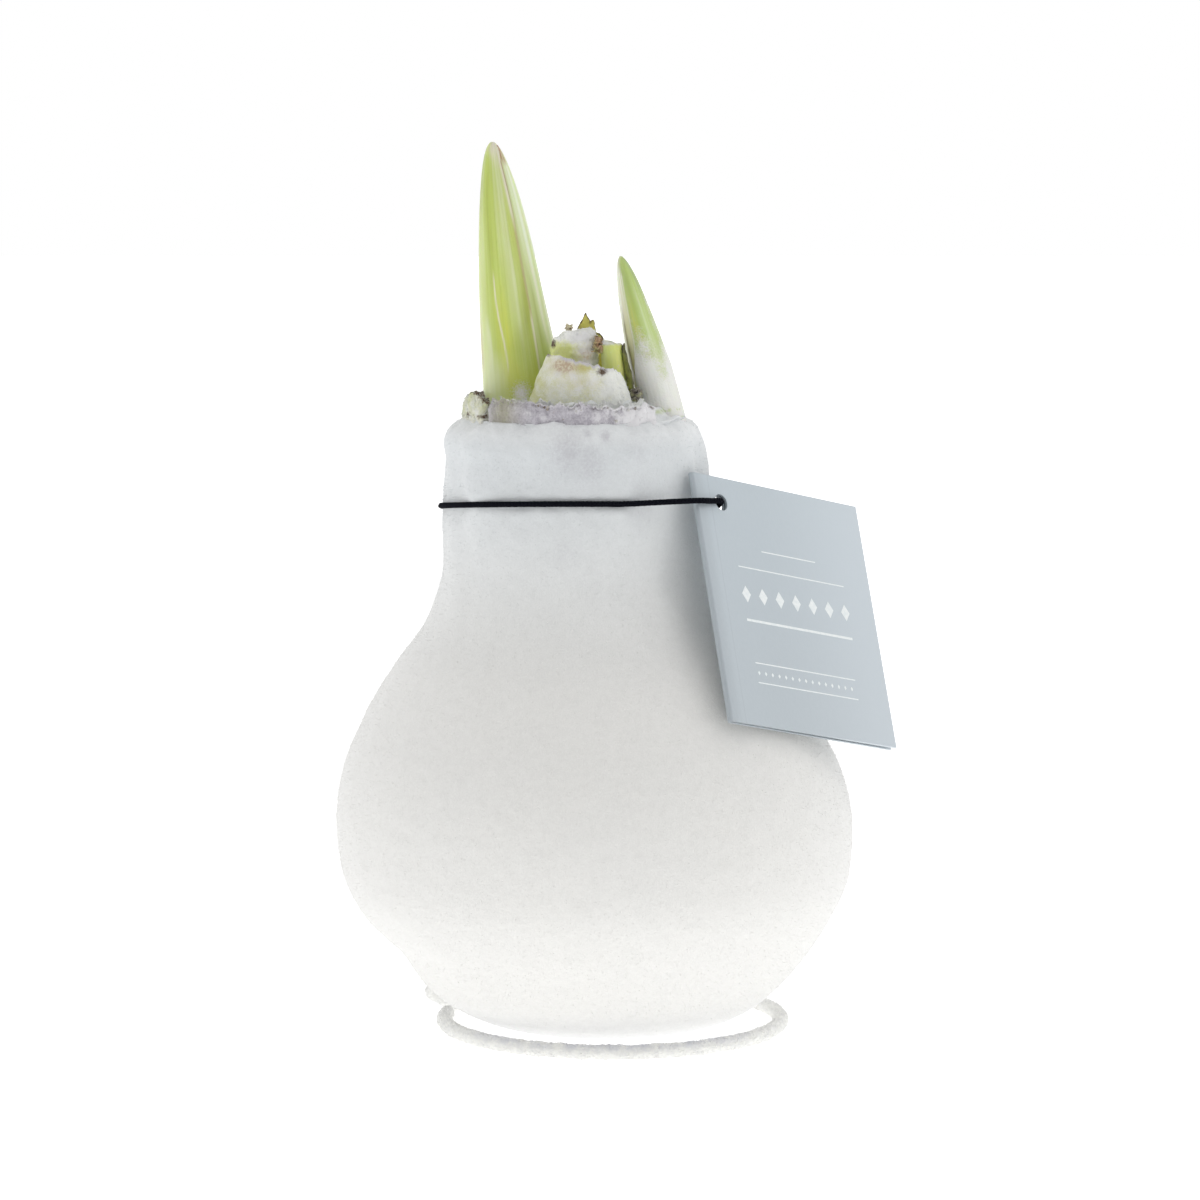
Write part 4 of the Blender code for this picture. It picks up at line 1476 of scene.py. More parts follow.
        # Darker band on top of the lip beside the front scale's foot.
        lip_band = 0.42 * smooth_step(z, 107.9, 108.8) * (z < 112.0) * band
        smudge += lip_band * (0.8 + 0.25 * waves(spots, 2.4, 32))
        crease = (hump((z, 109.8, 0.3)) * smooth_step(x, 7.5, 8.8) * smooth_step(x, 12.6, 11.4)
                  * smooth_step(y, -5.0, -6.0))
        paint(data, smudge=smudge, green=0.8 * crease, flock=cover,
              fibres=smooth_step(z, 3.0, 9.0) * cover, edge=0.0, brown=0.0)

    def dress(self, shop: Workshop) -> None:
        """Show the bulb and the fibres of its coat.

        Args:
            shop: materials and makers.
        """
        data = self.build()
        fuzz = shop.fibres(data, 1.35e6, 0.42, 0.045, 0.55, 3)
        shop.show("coated_bulb", data, "velvet flesh", "bulb")
        shop.show("coat_fibres", fuzz, "velvet")


@dataclass
class CurvedWall:
    """Upright curved sheet about an oval: a bulb scale or a cut leaf base."""

    name: str
    node: str
    centre: Pair
    radii: Pair
    span: Pair
    foot: float
    top: Callable[[Array], Array]
    thickness: float
    lean: Pair = (0.0, 0.0)
    bend: float = 107.7
    bulge: float = 0.0
    crumple: float = 0.25
    crumple_size: float = 2.4
    torn: float = 0.25
    edge_share: float = 0.35
    seed: int = 1
    step: float = 0.14
    rows: int = 34

    def grid(self) -> Array:
        """Places on the middle of the sheet.

        Returns:
            The places, rows upwards and columns along the sheet.
        """
        arc = math.radians(abs(self.span[1] - self.span[0])) * max(self.radii)
        columns = max(12, int(arc / self.step))
        angle = np.linspace(self.span[0], self.span[1], columns)
        rim = np.stack([angle * math.pi / 180 * self.radii[0], angle * 0.0], -1)
        top = self.top(angle) + self.torn * (0.55 * waves(rim, 1.9, self.seed)
                                             + 0.35 * waves(rim, 0.75, self.seed + 1))
        share = np.linspace(0.0, 1.0, self.rows)[:, None] ** 0.85
        z = self.foot + (top[None, :] - self.foot) * share
        rise = np.maximum(0.0, z - self.bend)
        full = np.maximum(top[None, :] - self.bend, 0.5)
        belly = self.bulge * np.sin(np.pi * np.clip(rise / full, 0.0, 1.0))
        around = np.radians(angle)[None, :]
        reach = [self.radii[k] + self.lean[k] * rise + belly for k in (0, 1)]
        spots = np.stack([self.centre[0] + np.cos(around) * reach[0],
                          self.centre[1] + np.sin(around) * reach[1], z], -1)
        dent = self.crumple * waves(spots * (1.0, 1.0, 0.8), self.crumple_size, self.seed + 2)
        dent += 0.35 * self.crumple * waves(spots, self.crumple_size * 0.35, self.seed + 3)
        dent = dent * smooth_step(z, self.bend - 1.5, self.bend + 1.0)
        spots[..., 0] += np.cos(around) * dent
        spots[..., 1] += np.sin(around) * dent
        return spots

    def build(self) -> Mesh:
        """Make the closed skin about the sheet.

        Returns:
            The mesh.
        """
        grid = self.grid()
        rows, columns = grid.shape[:2]
        up = np.linspace(0.0, 1.0, rows)[:, None]
        along = np.linspace(0.0, 1.0, columns)[None, :]
        thin = 1.0 - (1.0 - self.edge_share) * smooth_step(up, 0.55, 1.0)
        ends = np.sqrt(np.clip(np.minimum(along, 1.0 - along) / 0.03, 0.12, 1.0))
        return shell(self.name, grid, self.thickness * thin * ends)

    def heights(self, data: Mesh) -> Array:
        """Share of the way up of each point of the skin."""
        share = np.repeat(np.linspace(0.0, 1.0, self.rows), len(data.vertices) // 2 // self.rows)
        return np.tile(share, 2)


def ragged(base: float, fall: float, depth: float, seed: float) -> Callable[[Array], Array]:
    """Torn upper edge of a scale, the same line as in the solids.

    Args:
        base: height of the edge at the front.
        fall: drop over a quarter turn to the right.
        depth: size of the seeded teeth.
        seed: seed of the teeth.

    Returns:
        Function from directions to heights.
    """
    def top(angles: Array) -> Array:
        """Heights at the directions.

        Args:
            angles: the directions.

        Returns:
            The heights.
        """
        teeth = [noise.noise(Vector((angle / 9.0, seed, 0.0)))
                 + 0.6 * noise.noise(Vector((angle / 3.1, seed + 5.0, 0.0))) for angle in angles]
        return base - fall * (angles + 90.0) / 90.0 + depth * np.array(teeth)
    return top


class ScaleKind(Enum):
    """Kinds of bulb scale round the neck, by the names of their finishes."""

    DRY = "dry_scale"
    FLESHY = "fleshy_scale"
    WHITE = "white_scale"


@dataclass
class NeckScales:
    """Torn bulb scales round the neck, with their crumbs and fibres."""

    neck_x: float = -5.6
    radius: float = 18.6
    inner_radius: float = 14.6
    front_span: Pair = (-142.0, -42.0)
    left_span: Pair = (-179.0, -144.5)
    back_span: Pair = (44.0, 177.5)
    inner_span: Pair = (-150.0, -36.0)
    crown_top: float = 108.0

    def walls(self) -> list[tuple[CurvedWall, Slot, ScaleKind]]:
        """The four scales with their slots and kinds.

        Returns:
            Sheet, slot and kind of each.
        """
        centre = (self.neck_x, 0.0)

        def inner_top(angles: Array) -> Array:
            """Edge of the inner scale, which rises to a curl at its right end."""
            curl = np.clip((angles + 46.0) / 9.0, 0.0, 1.0)
            return ragged(111.7, 0.4, 0.5, 21.0)(angles) + 0.4 * curl

        def left_top(angles: Array) -> Array:
            """Edge of the left scale, highest in its middle."""
            return ragged(111.6, 0.0, 0.3, 9.0)(angles) + 1.6 * hump((angles, -156.0, 8.0))

        return [
            (CurvedWall("torn_scale_front", "neck_scale_front", centre, (self.radius,) * 2,
                        self.front_span, 106.0, ragged(111.7, 1.2, 0.8, 3.0), 1.15,
                        lean=(-0.03, -0.03), bulge=0.15, crumple=0.15, torn=0.2, seed=41),
             Slot.DRY_SCALE, ScaleKind.DRY),
            (CurvedWall("torn_scale_left", "neck_scale_left", centre, (self.radius - 0.35,) * 2,
                        self.left_span, 105.5, left_top, 2.0, lean=(0.05, 0.05), bulge=0.45,
                        crumple=0.2, torn=0.26, seed=51, edge_share=0.6),
             Slot.FLESHY_SCALE, ScaleKind.FLESHY),
            (CurvedWall("torn_scale_back", "neck_scale_back", centre, (self.radius,) * 2,
                        self.back_span, 106.0, ragged(111.6, 0.0, 1.1, 14.0), 1.15,
                        lean=(-0.03, -0.03), bulge=0.15, crumple=0.18, torn=0.3, seed=61),
             Slot.DRY_SCALE, ScaleKind.DRY),
            (CurvedWall("torn_scale_inner", "neck_scale_inner", centre, (self.inner_radius,) * 2,
                        self.inner_span, 105.0, inner_top, 1.0, lean=(-0.02, -0.02),
                        crumple=0.22, torn=0.4, seed=71), Slot.FLESHY_SCALE, ScaleKind.WHITE),
        ]

    def colour(self, data: Mesh, height: Array, kind: ScaleKind) -> None:
        """Paint where a scale is dry, green, speckled or under flock.

        Args:
            data: mesh of the scale.
            height: share of the way up of each of its points.
            kind: kind of scale.
        """
        spots = places(data)
        x, y, z = spots.T
        angle = np.degrees(np.arctan2(y, x - self.neck_x))
        above = z > self.crown_top
        if kind is ScaleKind.DRY:
            rim = (0.42 * smooth_step(height, 0.80, 0.90) * smooth_step(height, 1.0, 0.94)
                   * (0.7 + 0.4 * waves(spots, 2.6, 80)))
            cover = (0.16 + 0.85 * smooth_step(angle, -84.0, -52.0) * (y < 0)
                     + 0.40 * smooth_step(height, 0.92, 1.0))
            crack = hump((waves(spots, 3.4, 87), 0.0, 0.13)) * smooth_step(height, 0.3, 0.6)
            rim = rim + 0.5 * crack * (0.4 + 0.6 * smooth_step(waves(spots, 5.0, 88), 0.0, 0.8))
            cover += 0.14 * waves(spots, 2.2, 81) - 0.20 * smooth_step(angle, -104.0, -124.0)
            green = 0.8 * hump((angle, -130.0, 9.0)) * (y < 0)
            brown = 0.15 + 0.12 * waves(spots, 6.0, 82)
        elif kind is ScaleKind.FLESHY:
            top = smooth_step(height, 0.90, 0.98)
            peak = hump((angle, -156.0, 7.0)) + hump((angle, -145.5, 1.8))
            low = hump((z, 109.2, 0.35)) * smooth_step(angle, -177.0, -168.0)
            rim = (0.2 + 0.8 * peak) * top + 0.85 * low * (0.7 + 0.5 * waves(spots, 1.6, 83))
            cover = 0.40 + 0.12 * waves(spots, 2.0, 84) - 0.2 * top
            green = (np.clip(0.35 + 0.12 * waves(spots, 3.0, 85), 0.0, 0.6)
                     * smooth_step(z, 107.8, 109.6))
            brown = 0.5 * smooth_step(angle, -164.0, -150.0) * smooth_step(z, 109.6, 111.0)
        else:
            rim = 0.25 * smooth_step(height, 0.93, 1.0)
            cover = 0.82 + 0.12 * waves(spots, 3.0, 86)
            green, brown = 0.2, 0.15
        paint(data, 2.0, -1.0, edge=rim)
        paint(data, flock=cover, green=green, brown=brown)
        if kind is ScaleKind.DRY:
            paint(data, smudge=0.9 * smooth_step(angle, -60.0, -88.0) * (y < 0))
        paint(data, fibres=above * (0.35 + 0.65 * smooth_step(height, 0.8, 1.0)),
              grains=above * rim)

    def dress(self, shop: Workshop) -> None:
        """Show the scales, the crumbs on their edges and the fibres on them.

        Args:
            shop: materials and makers.
        """
        for wall, slot, kind in self.walls():
            data = wall.build()
            self.colour(data, wall.heights(data), kind)
            fuzz = shop.fibres(data, 9.0e6, 0.55, 0.04, 0.8, wall.seed)
            crumbs = shop.grains(data, 2.2e6, (0.10, 0.34), 0.5, wall.seed + 1)
            shop.show(wall.name, data, kind.value, wall.node)
            shop.show(wall.name + "_fibres", fuzz, "velvet")
            if len(crumbs.polygons):
                shop.show(wall.name + "_crumbs", crumbs, "crumb")


@dataclass
class LeafStubs:
    """Cut and dried leaves at the middle of the neck."""

    outer_centre: Pair = (-4.15, -2.6)
    outer_radii: Pair = (9.25, 8.5)
    outer_span: Pair = (-170.0, -24.0)
    outer_top: float = 119.4
    middle: Pair = (-5.75, -0.6)
    middle_radii: Pair = (4.1, 2.6)
    middle_top: float = 123.4
    middle_sides: int = 120
    inner: Pair = (0.85, -2.0)
    inner_radius: float = 1.9
    inner_top: float = 121.6
    inner_bore: float = 1.1
    inner_sides: int = 96
    strip_span: Pair = (-40.0, 14.0)
    strip_radii: Pair = (3.9, 2.9)
    dry_leaf_y: float = 3.6
    dry_leaf_rim: tuple[Pair, ...] = (
        (-5.6, 119.0), (-5.2, 123.6), (-4.5, 124.8), (-3.7, 126.5), (-3.0, 124.9), (-2.3, 125.2),
        (-1.9, 122.9), (-1.1, 122.7), (-0.4, 121.4))
    scrap_grid: int = 44
    foot: float = 103.0

    def outer_edge(self, angles: Array) -> Array:
        """Upper edge of the broad stub, falling to the right and at both of its ends.

        Args:
            angles: directions along the stub.

        Returns:
            The heights.
        """
        slope = np.clip((angles + 126.0) / 94.0, 0.0, 1.0)
        left = np.maximum(0.0, (-156.0 - angles) / 14.0)
        right = np.maximum(0.0, (angles + 34.0) / 10.0)
        return self.outer_top - 2.7 * slope - 1.5 * right ** 1.5 - 0.9 * left ** 2

    def outer_stub(self) -> Mesh:
        """Broad stub, open at the back.

        Returns:
            The mesh.
        """
        wall = CurvedWall("cut_leaf_outer", "leaf_stub_outer", self.outer_centre, self.outer_radii,
                          self.outer_span, self.foot, self.outer_edge, 1.4, lean=(-0.33, -0.18),
                          bend=110.0, bulge=0.25, crumple=0.12, crumple_size=3.6, torn=0.16,
                          edge_share=0.6, seed=91, rows=56)
        data = wall.build()
        spots = places(data)
        x, y, z = spots.T
        height = wall.heights(data)
        left = smooth_step(x, -7.5, -12.5) * smooth_step(z, 118.5, 113.5)
        olive = hump((x, -3.9, 1.7), (z, 117.6, 0.95))
        faint = hump((x, -4.5, 3.0), (z, 113.6, 2.0))
        patch = hump((x, -7.6, 2.2), (z, 117.9, 1.4))
        lower = 0.35 * hump((x, -4.5, 3.4), (z, 115.0, 1.4))
        speckled = np.clip(1.4 * patch + lower + 0.6 * olive, 0.0, 1.0)
        cover = 0.56 + 0.28 * smooth_step(x, -3.5, 1.5) + 0.10 * waves(spots, 2.2, 92)
        cover += -0.45 * patch - 0.50 * olive - 0.30 * left - 0.10 * faint
        lilac = (smooth_step(height, 0.945, 0.985) * smooth_step(x, -9.5, -7.0)
                 * smooth_step(x, 2.5, -1.0) * (y < -4.0))
        # Painted shade for a hole: a dark spot on the stub, with crumbs on it.
        spot = hump((x, -0.85, 1.0), (z, 116.9, 0.75)) * (y < 0)
        tip = hump((x, -10.4, 0.7)) * smooth_step(height, 0.97, 0.99)
        rim = 0.30 * smooth_step(height, 0.972, 1.0) * (0.5 + 0.6 * waves(spots, 1.4, 93))
        bare = np.clip(1.2 * speckled + 1.5 * olive, 0.0, 1.0)
        green = 0.65 * left + 1.0 * olive + 0.45 * faint + 0.10 * waves(spots, 3.0, 94)
        paint(data, 0.9, green=green)
        paint(data, brown=speckled, flock=cover, lilac=0.85 * lilac,
              edge=rim + 0.9 * spot + 0.9 * tip,
              fibres=(z > 109.5) * smooth_step(x, -9.0, -2.0) * (1.0 - bare) * 0.6)
        paint(data, 2.0, grains=(height > 0.975) * 0.25 + 0.8 * (spot > 0.5) + 0.8 * (tip > 0.4))
        return data

    def middle_stub(self) -> Mesh:
        """Middle stub with its lumpy flocked top.

        Returns:
            The mesh.
        """
        radius, flat = self.middle_radii
        top = self.middle_top
        profile = smooth_path([Vector(point) for point in (
            (0.3, top + 0.05), (radius * 0.45, top), (radius * 0.8, top - 0.5),
            (radius * 0.97, top - 1.7), (radius, top - 3.4), (radius, 112.0),
            (radius, self.foot))], 0.28)
        columns = np.radians(np.arange(self.middle_sides) * 360.0 / self.middle_sides)
        rings = []
        for point in profile:
            x, y = np.cos(columns) * point.x, np.sin(columns) * point.x * flat / radius
            z = point.y + 0.22 * x * min(1.0, max(0.0, point.y - 117.0) / 3.0)
            spot = np.stack([x, y, z], -1)
            lump = 0.16 * waves(spot, 2.2, 101) + 0.07 * waves(spot, 0.8, 102)
            keep = smooth_step(point.y, 114.0, 120.0)
            spot[:, 0] += np.cos(columns) * lump * keep
            spot[:, 1] += np.sin(columns) * lump * keep
            spot[:, 2] += 0.8 * lump * keep
            rings.append(spot + (*self.middle, 0.0))
        data = tube("cut_leaf_middle", np.stack(rings))
        spots = places(data)
        x, _, z = spots.T
        away = x - self.middle[0]
        green = smooth_step(z, 122.8, 120.2) * smooth_step(away, 2.6, -1.8)
        brown = hump((x, -3.6, 2.0), (z, 119.2, 1.5))
        dark = hump((x, -9.4, 0.5), (z, 121.2, 0.8)) + 0.5 * hump((x, -2.9, 0.4), (z, 122.0, 0.4))
        paint(data, 0.9, green=green + 0.1)
        paint(data, flock=0.84 - 0.74 * green - 0.2 * brown + 0.10 * waves(spots, 1.8, 103),
              brown=0.8 * brown + 0.08,
              lilac=0.3 * smooth_step(away, -1.5, 1.0) * smooth_step(z, 121.0, 122.4),
              edge=dark, fibres=(z > 117.0) * (0.7 - green - brown), grains=dark)
        return data

    def inner_stub(self) -> Mesh:
        """Short smooth tube with a thin pale rim.

        Returns:
            The mesh.
        """
        top, bore, radius = self.inner_top, self.inner_bore, self.inner_radius
        profile = smooth_path([Vector(point) for point in (
            (0.2, top - 6.0), (bore, top - 5.8), (bore, top - 0.5), (bore + 0.2, top - 0.05),
            (radius - 0.3, top), (radius - 0.02, top - 0.35), (radius + 0.02, top - 4.0),
            (radius, 112.0), (radius, self.foot))], 0.25)
        columns = np.radians(np.arange(self.inner_sides) * 360.0 / self.inner_sides)
        rings = []
        for point in profile:
            drop = smooth_step(top - point.y, 0.0, 8.0)
            wide = point.x * (1.0 + 0.14 * drop)
            x, y = np.cos(columns) * wide, np.sin(columns) * wide
            z = point.y - 0.25 * x * min(1.0, max(0.0, point.y - 117.0) / 3.0)
            spot = np.stack([x + 0.55 * drop, y, z], -1)
            spot[:, 2] += 0.10 * waves(spot, 1.5, 111) * (point.y > top - 1.0)
            rings.append(spot + (*self.inner, 0.0))
        data = tube("cut_leaf_inner", np.stack(rings))
        spots = places(data)
        rim = smooth_step(spots[:, 2], top - 0.75, top - 0.15)
        side = spots[:, 0] - self.inner[0]
        # Pale rim, with painted light on the tube's left where the scraps shade it, and gold on its
        # right.
        paint(data, pale=0.6 * rim + 0.4 * smooth_step(side, -0.6, -1.8),
              gold=0.5 * smooth_step(side, -0.4, 1.2))
        paint(data, 0.6, dry=0.25 * rim * (1.0 + waves(spots, 1.0, 112)))
        paint(data, flock=0.72 * rim + 0.1 * waves(spots, 1.2, 113))
        return data

    def strip(self) -> Mesh:
        """Dark dried strip beside the tube, its darkness partly painted shade.

        Returns:
            The mesh.
        """
        return CurvedWall("dried_strip", "leaf_stub_strip", self.inner, self.strip_radii,
                          self.strip_span, self.foot,
                          lambda angles: 121.3 - 0.0016 * (angles + 14.0) ** 2, 0.55, bend=112.5,
                          lean=(-0.205, -0.05), crumple=0.05, crumple_size=1.4, torn=0.12,
                          seed=121, step=0.05, rows=60).build()

    def dry_leaf(self) -> Mesh:
        """Torn dry leaf tip behind the middle stub.

        Returns:
            The mesh.
        """
        rim = np.array(self.dry_leaf_rim)
        x = np.linspace(rim[0, 0] + 0.05, rim[-1, 0] - 0.05, 72)
        top = np.interp(x, rim[:, 0], rim[:, 1])
        share = np.linspace(0.0, 1.0, 56)[:, None]
        z = self.foot + (top[None, :] - self.foot) * share
        wide = np.broadcast_to(x[None, :], z.shape)
        bow = 0.10 * waves(np.stack([wide, z], -1), 2.6, 131) + 0.2 * np.cos((wide + 3.0) * 0.9)
        hold = smooth_step(z, 108.0, 112.0)
        grid = np.stack([wide + 0.06 * waves(np.stack([wide, z], -1), 1.2, 132) * hold,
                         self.dry_leaf_y + bow * hold * 0.5, z], -1)
        thin = 0.5 - 0.25 * smooth_step(share, 0.85, 1.0)
        return shell("dry_leaf", grid, np.broadcast_to(thin, z.shape))

    def scrap(self, name: str, centre: Triple, size: Triple, seed: int) -> Mesh:
        """Small crumpled scrap of dried leaf.

        Args:
            name: name of the mesh.
            centre: its place.
            size: its width, depth and height.
            seed: seed of its folds.

        Returns:
            The mesh.
        """
        side = np.linspace(-0.5, 0.5, self.scrap_grid)
        u, v = np.meshgrid(side, side)
        spots = np.stack([u * size[0], v * size[2]], -1)
        y = 0.35 * waves(spots, 0.9, seed) + size[1] * (0.5 - 4.0 * u * u)
        x = u * size[0] * (1.0 - 0.35 * v) + 0.10 * waves(spots, 0.7, seed + 1)
        z = v * size[2] * (1.0 - 1.3 * u * u) + 0.14 * waves(spots, 0.8, seed + 2)
        grid = np.stack([x + centre[0], centre[1] - y, z + centre[2]], -1)
        return shell(name, grid, np.full(u.shape, 0.16))

    @staticmethod
    def colour_dry(data: Mesh, green: float, edge: float, rim: float, seed: int) -> None:
        """Paint a dried leaf with some green left and a dark edge.

        Args:
            data: mesh of the leaf.
            green: how green it still is.
            edge: how dark its edge is.
            rim: share of the way up where the edge starts.
            seed: seed of the mottling.
        """
        spots = places(data)
        uvs = np.empty(len(data.loops) * 2, dtype=np.float32)
        data.uv_layers["UVMap"].data.foreach_get("uv", uvs)
        v = np.zeros(len(spots))
        v[corners(data)] = uvs[1::2]
        paint(data, green=green + 0.2 * waves(spots, 1.6, seed),
              edge=edge * smooth_step(v, rim, 1.0) + 0.10 * waves(spots, 1.2, seed + 1))
        paint(data, 0.4, flock=0.05 * waves(spots, 1.5, seed + 2))
        paint(data, brown=0.4 + 0.3 * waves(spots, 1.8, seed + 3))

    def dress(self, shop: Workshop) -> None:
        """Show the stubs, the strip, the dry leaf and the scraps between them.

        Args:
            shop: materials and makers.
        """
        for data, node, finish in ((self.outer_stub(), "leaf_stub_outer", "stub"),
                                   (self.middle_stub(), "leaf_stub_middle", "stub_middle")):
            name = data.name
            fuzz = shop.fibres(data, 7.0e6, 0.42, 0.035, 0.8, 5)
            crumbs = shop.grains(data, 2.6e6, (0.07, 0.2), 0.6, 6)
            shop.show(name, data, finish, node)
            shop.show(name + "_fibres", fuzz, "velvet")
            shop.show(name + "_crumbs", crumbs, "crumb")
        shop.show("cut_leaf_inner", self.inner_stub(), "stub_green",
                  "leaf_stub_inner")
        strip, leaf = self.strip(), self.dry_leaf()
        self.colour_dry(strip, 0.3, 0.7, 0.93, 141)
        self.colour_dry(leaf, 0.95, 0.8, 0.965, 151)
        shop.show("dried_strip", strip, "dark_leaf", "leaf_stub_strip")
        shop.show("dry_leaf", leaf, "dry_leaf", "dry_leaf_tip")
        for name, centre, size, seed, finish in (
                ("scrap_by_tube", (-1.55, -2.6, 121.0), (1.7, 0.9, 2.9), 161, "brown_leaf"),
                ("scrap_on_stub", (-6.7, -0.6, 124.0), (1.1, 0.6, 1.2), 171, "tan_leaf"),
                ("curl_by_shoot", (4.95, -5.8, 112.6), (2.3, 1.5, 2.3), 181, "dark_curl")):
            scrap = self.scrap(name, centre, size, seed)
            self.colour_dry(scrap, 0.1, 0.6, 0.8, seed)
            shop.show(name, scrap, finish)


@dataclass(frozen=True)
class Streak:
    """Soft streak along a leaf, as stops of (depth, place across, half width, strength)."""

    layer: str
    stops: tuple[tuple[float, float, float, float], ...]
    from_margin: bool = False

    def values(self, depth: Array, across: Array, to_margin: Array) -> Array:
        """Strength of the streak on the leaf.

        Args:
            depth: depths under the shoot's tip.
            across: places across the shoot, from -1 at the left to 1 at the right.
            to_margin: distances from the outer leaf's margin.

        Returns:
            Numbers from 0 to 1.
        """
        depths, lines, widths, strengths = np.array(self.stops, dtype=float).T
        line = np.interp(depth, depths, lines)
        width = np.interp(depth, depths, widths)
        place = to_margin if self.from_margin else across
        return np.interp(depth, depths, strengths) * hump((place, line, width))


@dataclass
class Shoot:
    """Young shoot of one clasping outer leaf round one inner leaf."""

    name: str
    tip: Triple
    slope: Pair
    half_widths: Pair
    taper_length: float
    opening: Opening
    half_opening: float
    finishes: tuple[str, str]
    closing: float = 0.0
    outer_streaks: tuple[Streak, ...] = ()
    inner_streaks: tuple[Streak, ...] = ()
    power: float = 0.48
    foot: float = 102.0
    lip: float = 0.42
    columns: int = 150
    rows: int = 170

    def centre(self, depth: Array) -> tuple[Array, Array, Array]:
        """Middle of the shoot at depths under its tip."""
        return (self.tip[0] + self.slope[0] * depth, self.tip[1] + self.slope[1] * depth,
                self.tip[2] - depth)

    def scale(self, depth: Array) -> Array:
        """Share of the full width at depths under the tip."""
        return np.clip(depth / self.taper_length, 0.0, 1.0) ** self.power

    def half_gap(self, depth: Array) -> Array:
        """Half angle between the outer leaf's margins, which close at the tip and the foot.

        Args:
            depth: depths under the tip.

        Returns:
            The half angles.
        """
        share = np.clip(depth / 3.5, 0.0, 1.0)
        foot = 1.0 - self.closing * smooth_step(depth, 14.0, 25.0)
        return self.half_opening * (0.30 + 0.70 * share ** 0.6) * foot

    def depths(self) -> Array:
        """Depths from just under the tip down to the foot, closer together near the tip."""
        return 0.06 + (self.tip[2] - self.foot - 0.06) * np.linspace(0.0, 1.0, self.rows) ** 1.6

    def surface(self, depth: Array, angle: Array, inset: Array) -> Array:
        """Places on the shoot.

        Args:
            depth: depths under the tip.
            angle: angles from the opening.
            inset: how far the places are set in.

        Returns:
            The places.
        """
        x, y, z = self.centre(depth)
        share = self.scale(depth)
        turn = np.radians(angle + self.opening.value)
        ribs = 0.018 * np.sin(np.radians(angle) * 34.0) + 0.012 * np.sin(np.radians(angle) * 57.0)
        swell = 0.09 * waves(np.stack([np.cos(turn) * 4, np.sin(turn) * 4, z / 9.0], -1), 3.5, 201)
        grow = (ribs + swell) * np.clip(depth / 8.0, 0.0, 1.0) - 0.08 - inset
        return np.stack([x + np.cos(turn) * np.maximum(self.half_widths[0] * share + grow, 0.05),
                         y + np.sin(turn) * np.maximum(self.half_widths[1] * share + grow, 0.05),
                         z], -1)

    def outer(self) -> Mesh:
        """Outer leaf, whose margins stand open as thin lips.

        Returns:
            The mesh.
        """
        share, depth = np.meshgrid(np.linspace(0.0, 1.0, self.columns), self.depths())
        half = self.half_gap(depth)
        eased = share - 0.10 * np.sin(2.0 * np.pi * share) / np.pi
        angle = half + (360.0 - 2.0 * half) * eased
        room = min(self.half_widths) * self.scale(depth)
        margin = np.minimum(share, 1.0 - share)
        thick = np.minimum(1.0, 0.55 * room) * (0.30 + 0.70 * smooth_step(margin, 0.0, 0.14))
        wave = 0.10 * np.sin(depth / 3.1 + 4.0 * share) * smooth_step(margin, 0.06, 0.0)
        data = shell(self.name + "_outer", self.surface(depth, angle, thick / 2 - wave), thick)
        self.colour(data, True)
        return data

    def inner(self) -> Mesh:
        """Inner leaf, which fills the outer one and shows between its margins.

        Returns:
            The mesh.
        """
        angle, depth = np.meshgrid(np.arange(self.columns) * 360.0 / self.columns,
                                   self.depths()[4:] + 0.35)
        half = self.half_gap(depth)
        inside = smooth_step(np.minimum(angle, 360.0 - angle), half - 2.0, half + 5.0)
        room = min(self.half_widths) * self.scale(depth)
        inset = self.lip * np.clip(room / 3.0, 0.2, 1.0) * 0.6 + 0.75 * inside * np.clip(
            room / 3.0, 0.1, 1.0)
        grid = self.surface(depth, angle, inset)
        data = tube(self.name + "_inner", grid, start=grid[0].mean(axis=0) + (0.0, 0.0, 0.05))
        self.colour(data, False)
        return data

    def colour(self, data: Mesh, outer: bool) -> None:
        """Paint the streaks of a leaf, painted light and shade among them, and where it is under
        flock.

        Args:
            data: mesh of the leaf.
            outer: whether it is the outer leaf.
        """
        spots = places(data)
        depth = self.tip[2] - spots[:, 2]
        x, y, _ = self.centre(depth)
        share = np.maximum(self.scale(depth), 0.05)
        across = (spots[:, 0] - x) / (self.half_widths[0] * share)
        angle = np.degrees(np.arctan2((spots[:, 1] - y) / self.half_widths[1],
                                      (spots[:, 0] - x) / self.half_widths[0]))
        turn = np.abs(wrapped(angle - self.opening.value))
        to_margin = np.radians(turn - self.half_gap(depth)) * share * max(self.half_widths)
        sway = 0.018 * waves(np.stack([across * 3.0, depth / 5.0], -1), 3.0, 231)
        layers = {label: np.zeros(len(spots)) for label in LEAF_LAYERS}
        for streak in self.outer_streaks if outer else self.inner_streaks:
            layers[streak.layer] += streak.values(depth, across + sway, to_margin)
        fine = waves(np.stack([across * 16.0, depth / 22.0], -1), 2.6, 232)
        paint(data, **{label: values * (1.0 + 0.28 * fine) for label, values in layers.items()})
        paint(data, flock=self.flock(spots, depth, across, outer))

    def flock(self, spots: Array, depth: Array, across: Array, outer: bool) -> Any:
        """Share of the surface that is under flock, none where no shoot says more."""
        return 0.0

    def dress(self, shop: Workshop) -> None:
        """Show both leaves.

        Args:
            shop: materials and makers.
        """
        outer, inner = self.finishes
        shop.show(self.name + "_outer", self.outer(), outer,
                  self.name + "_outer_leaf")
        shop.show(self.name + "_inner", self.inner(), inner,
                  self.name + "_inner_leaf")


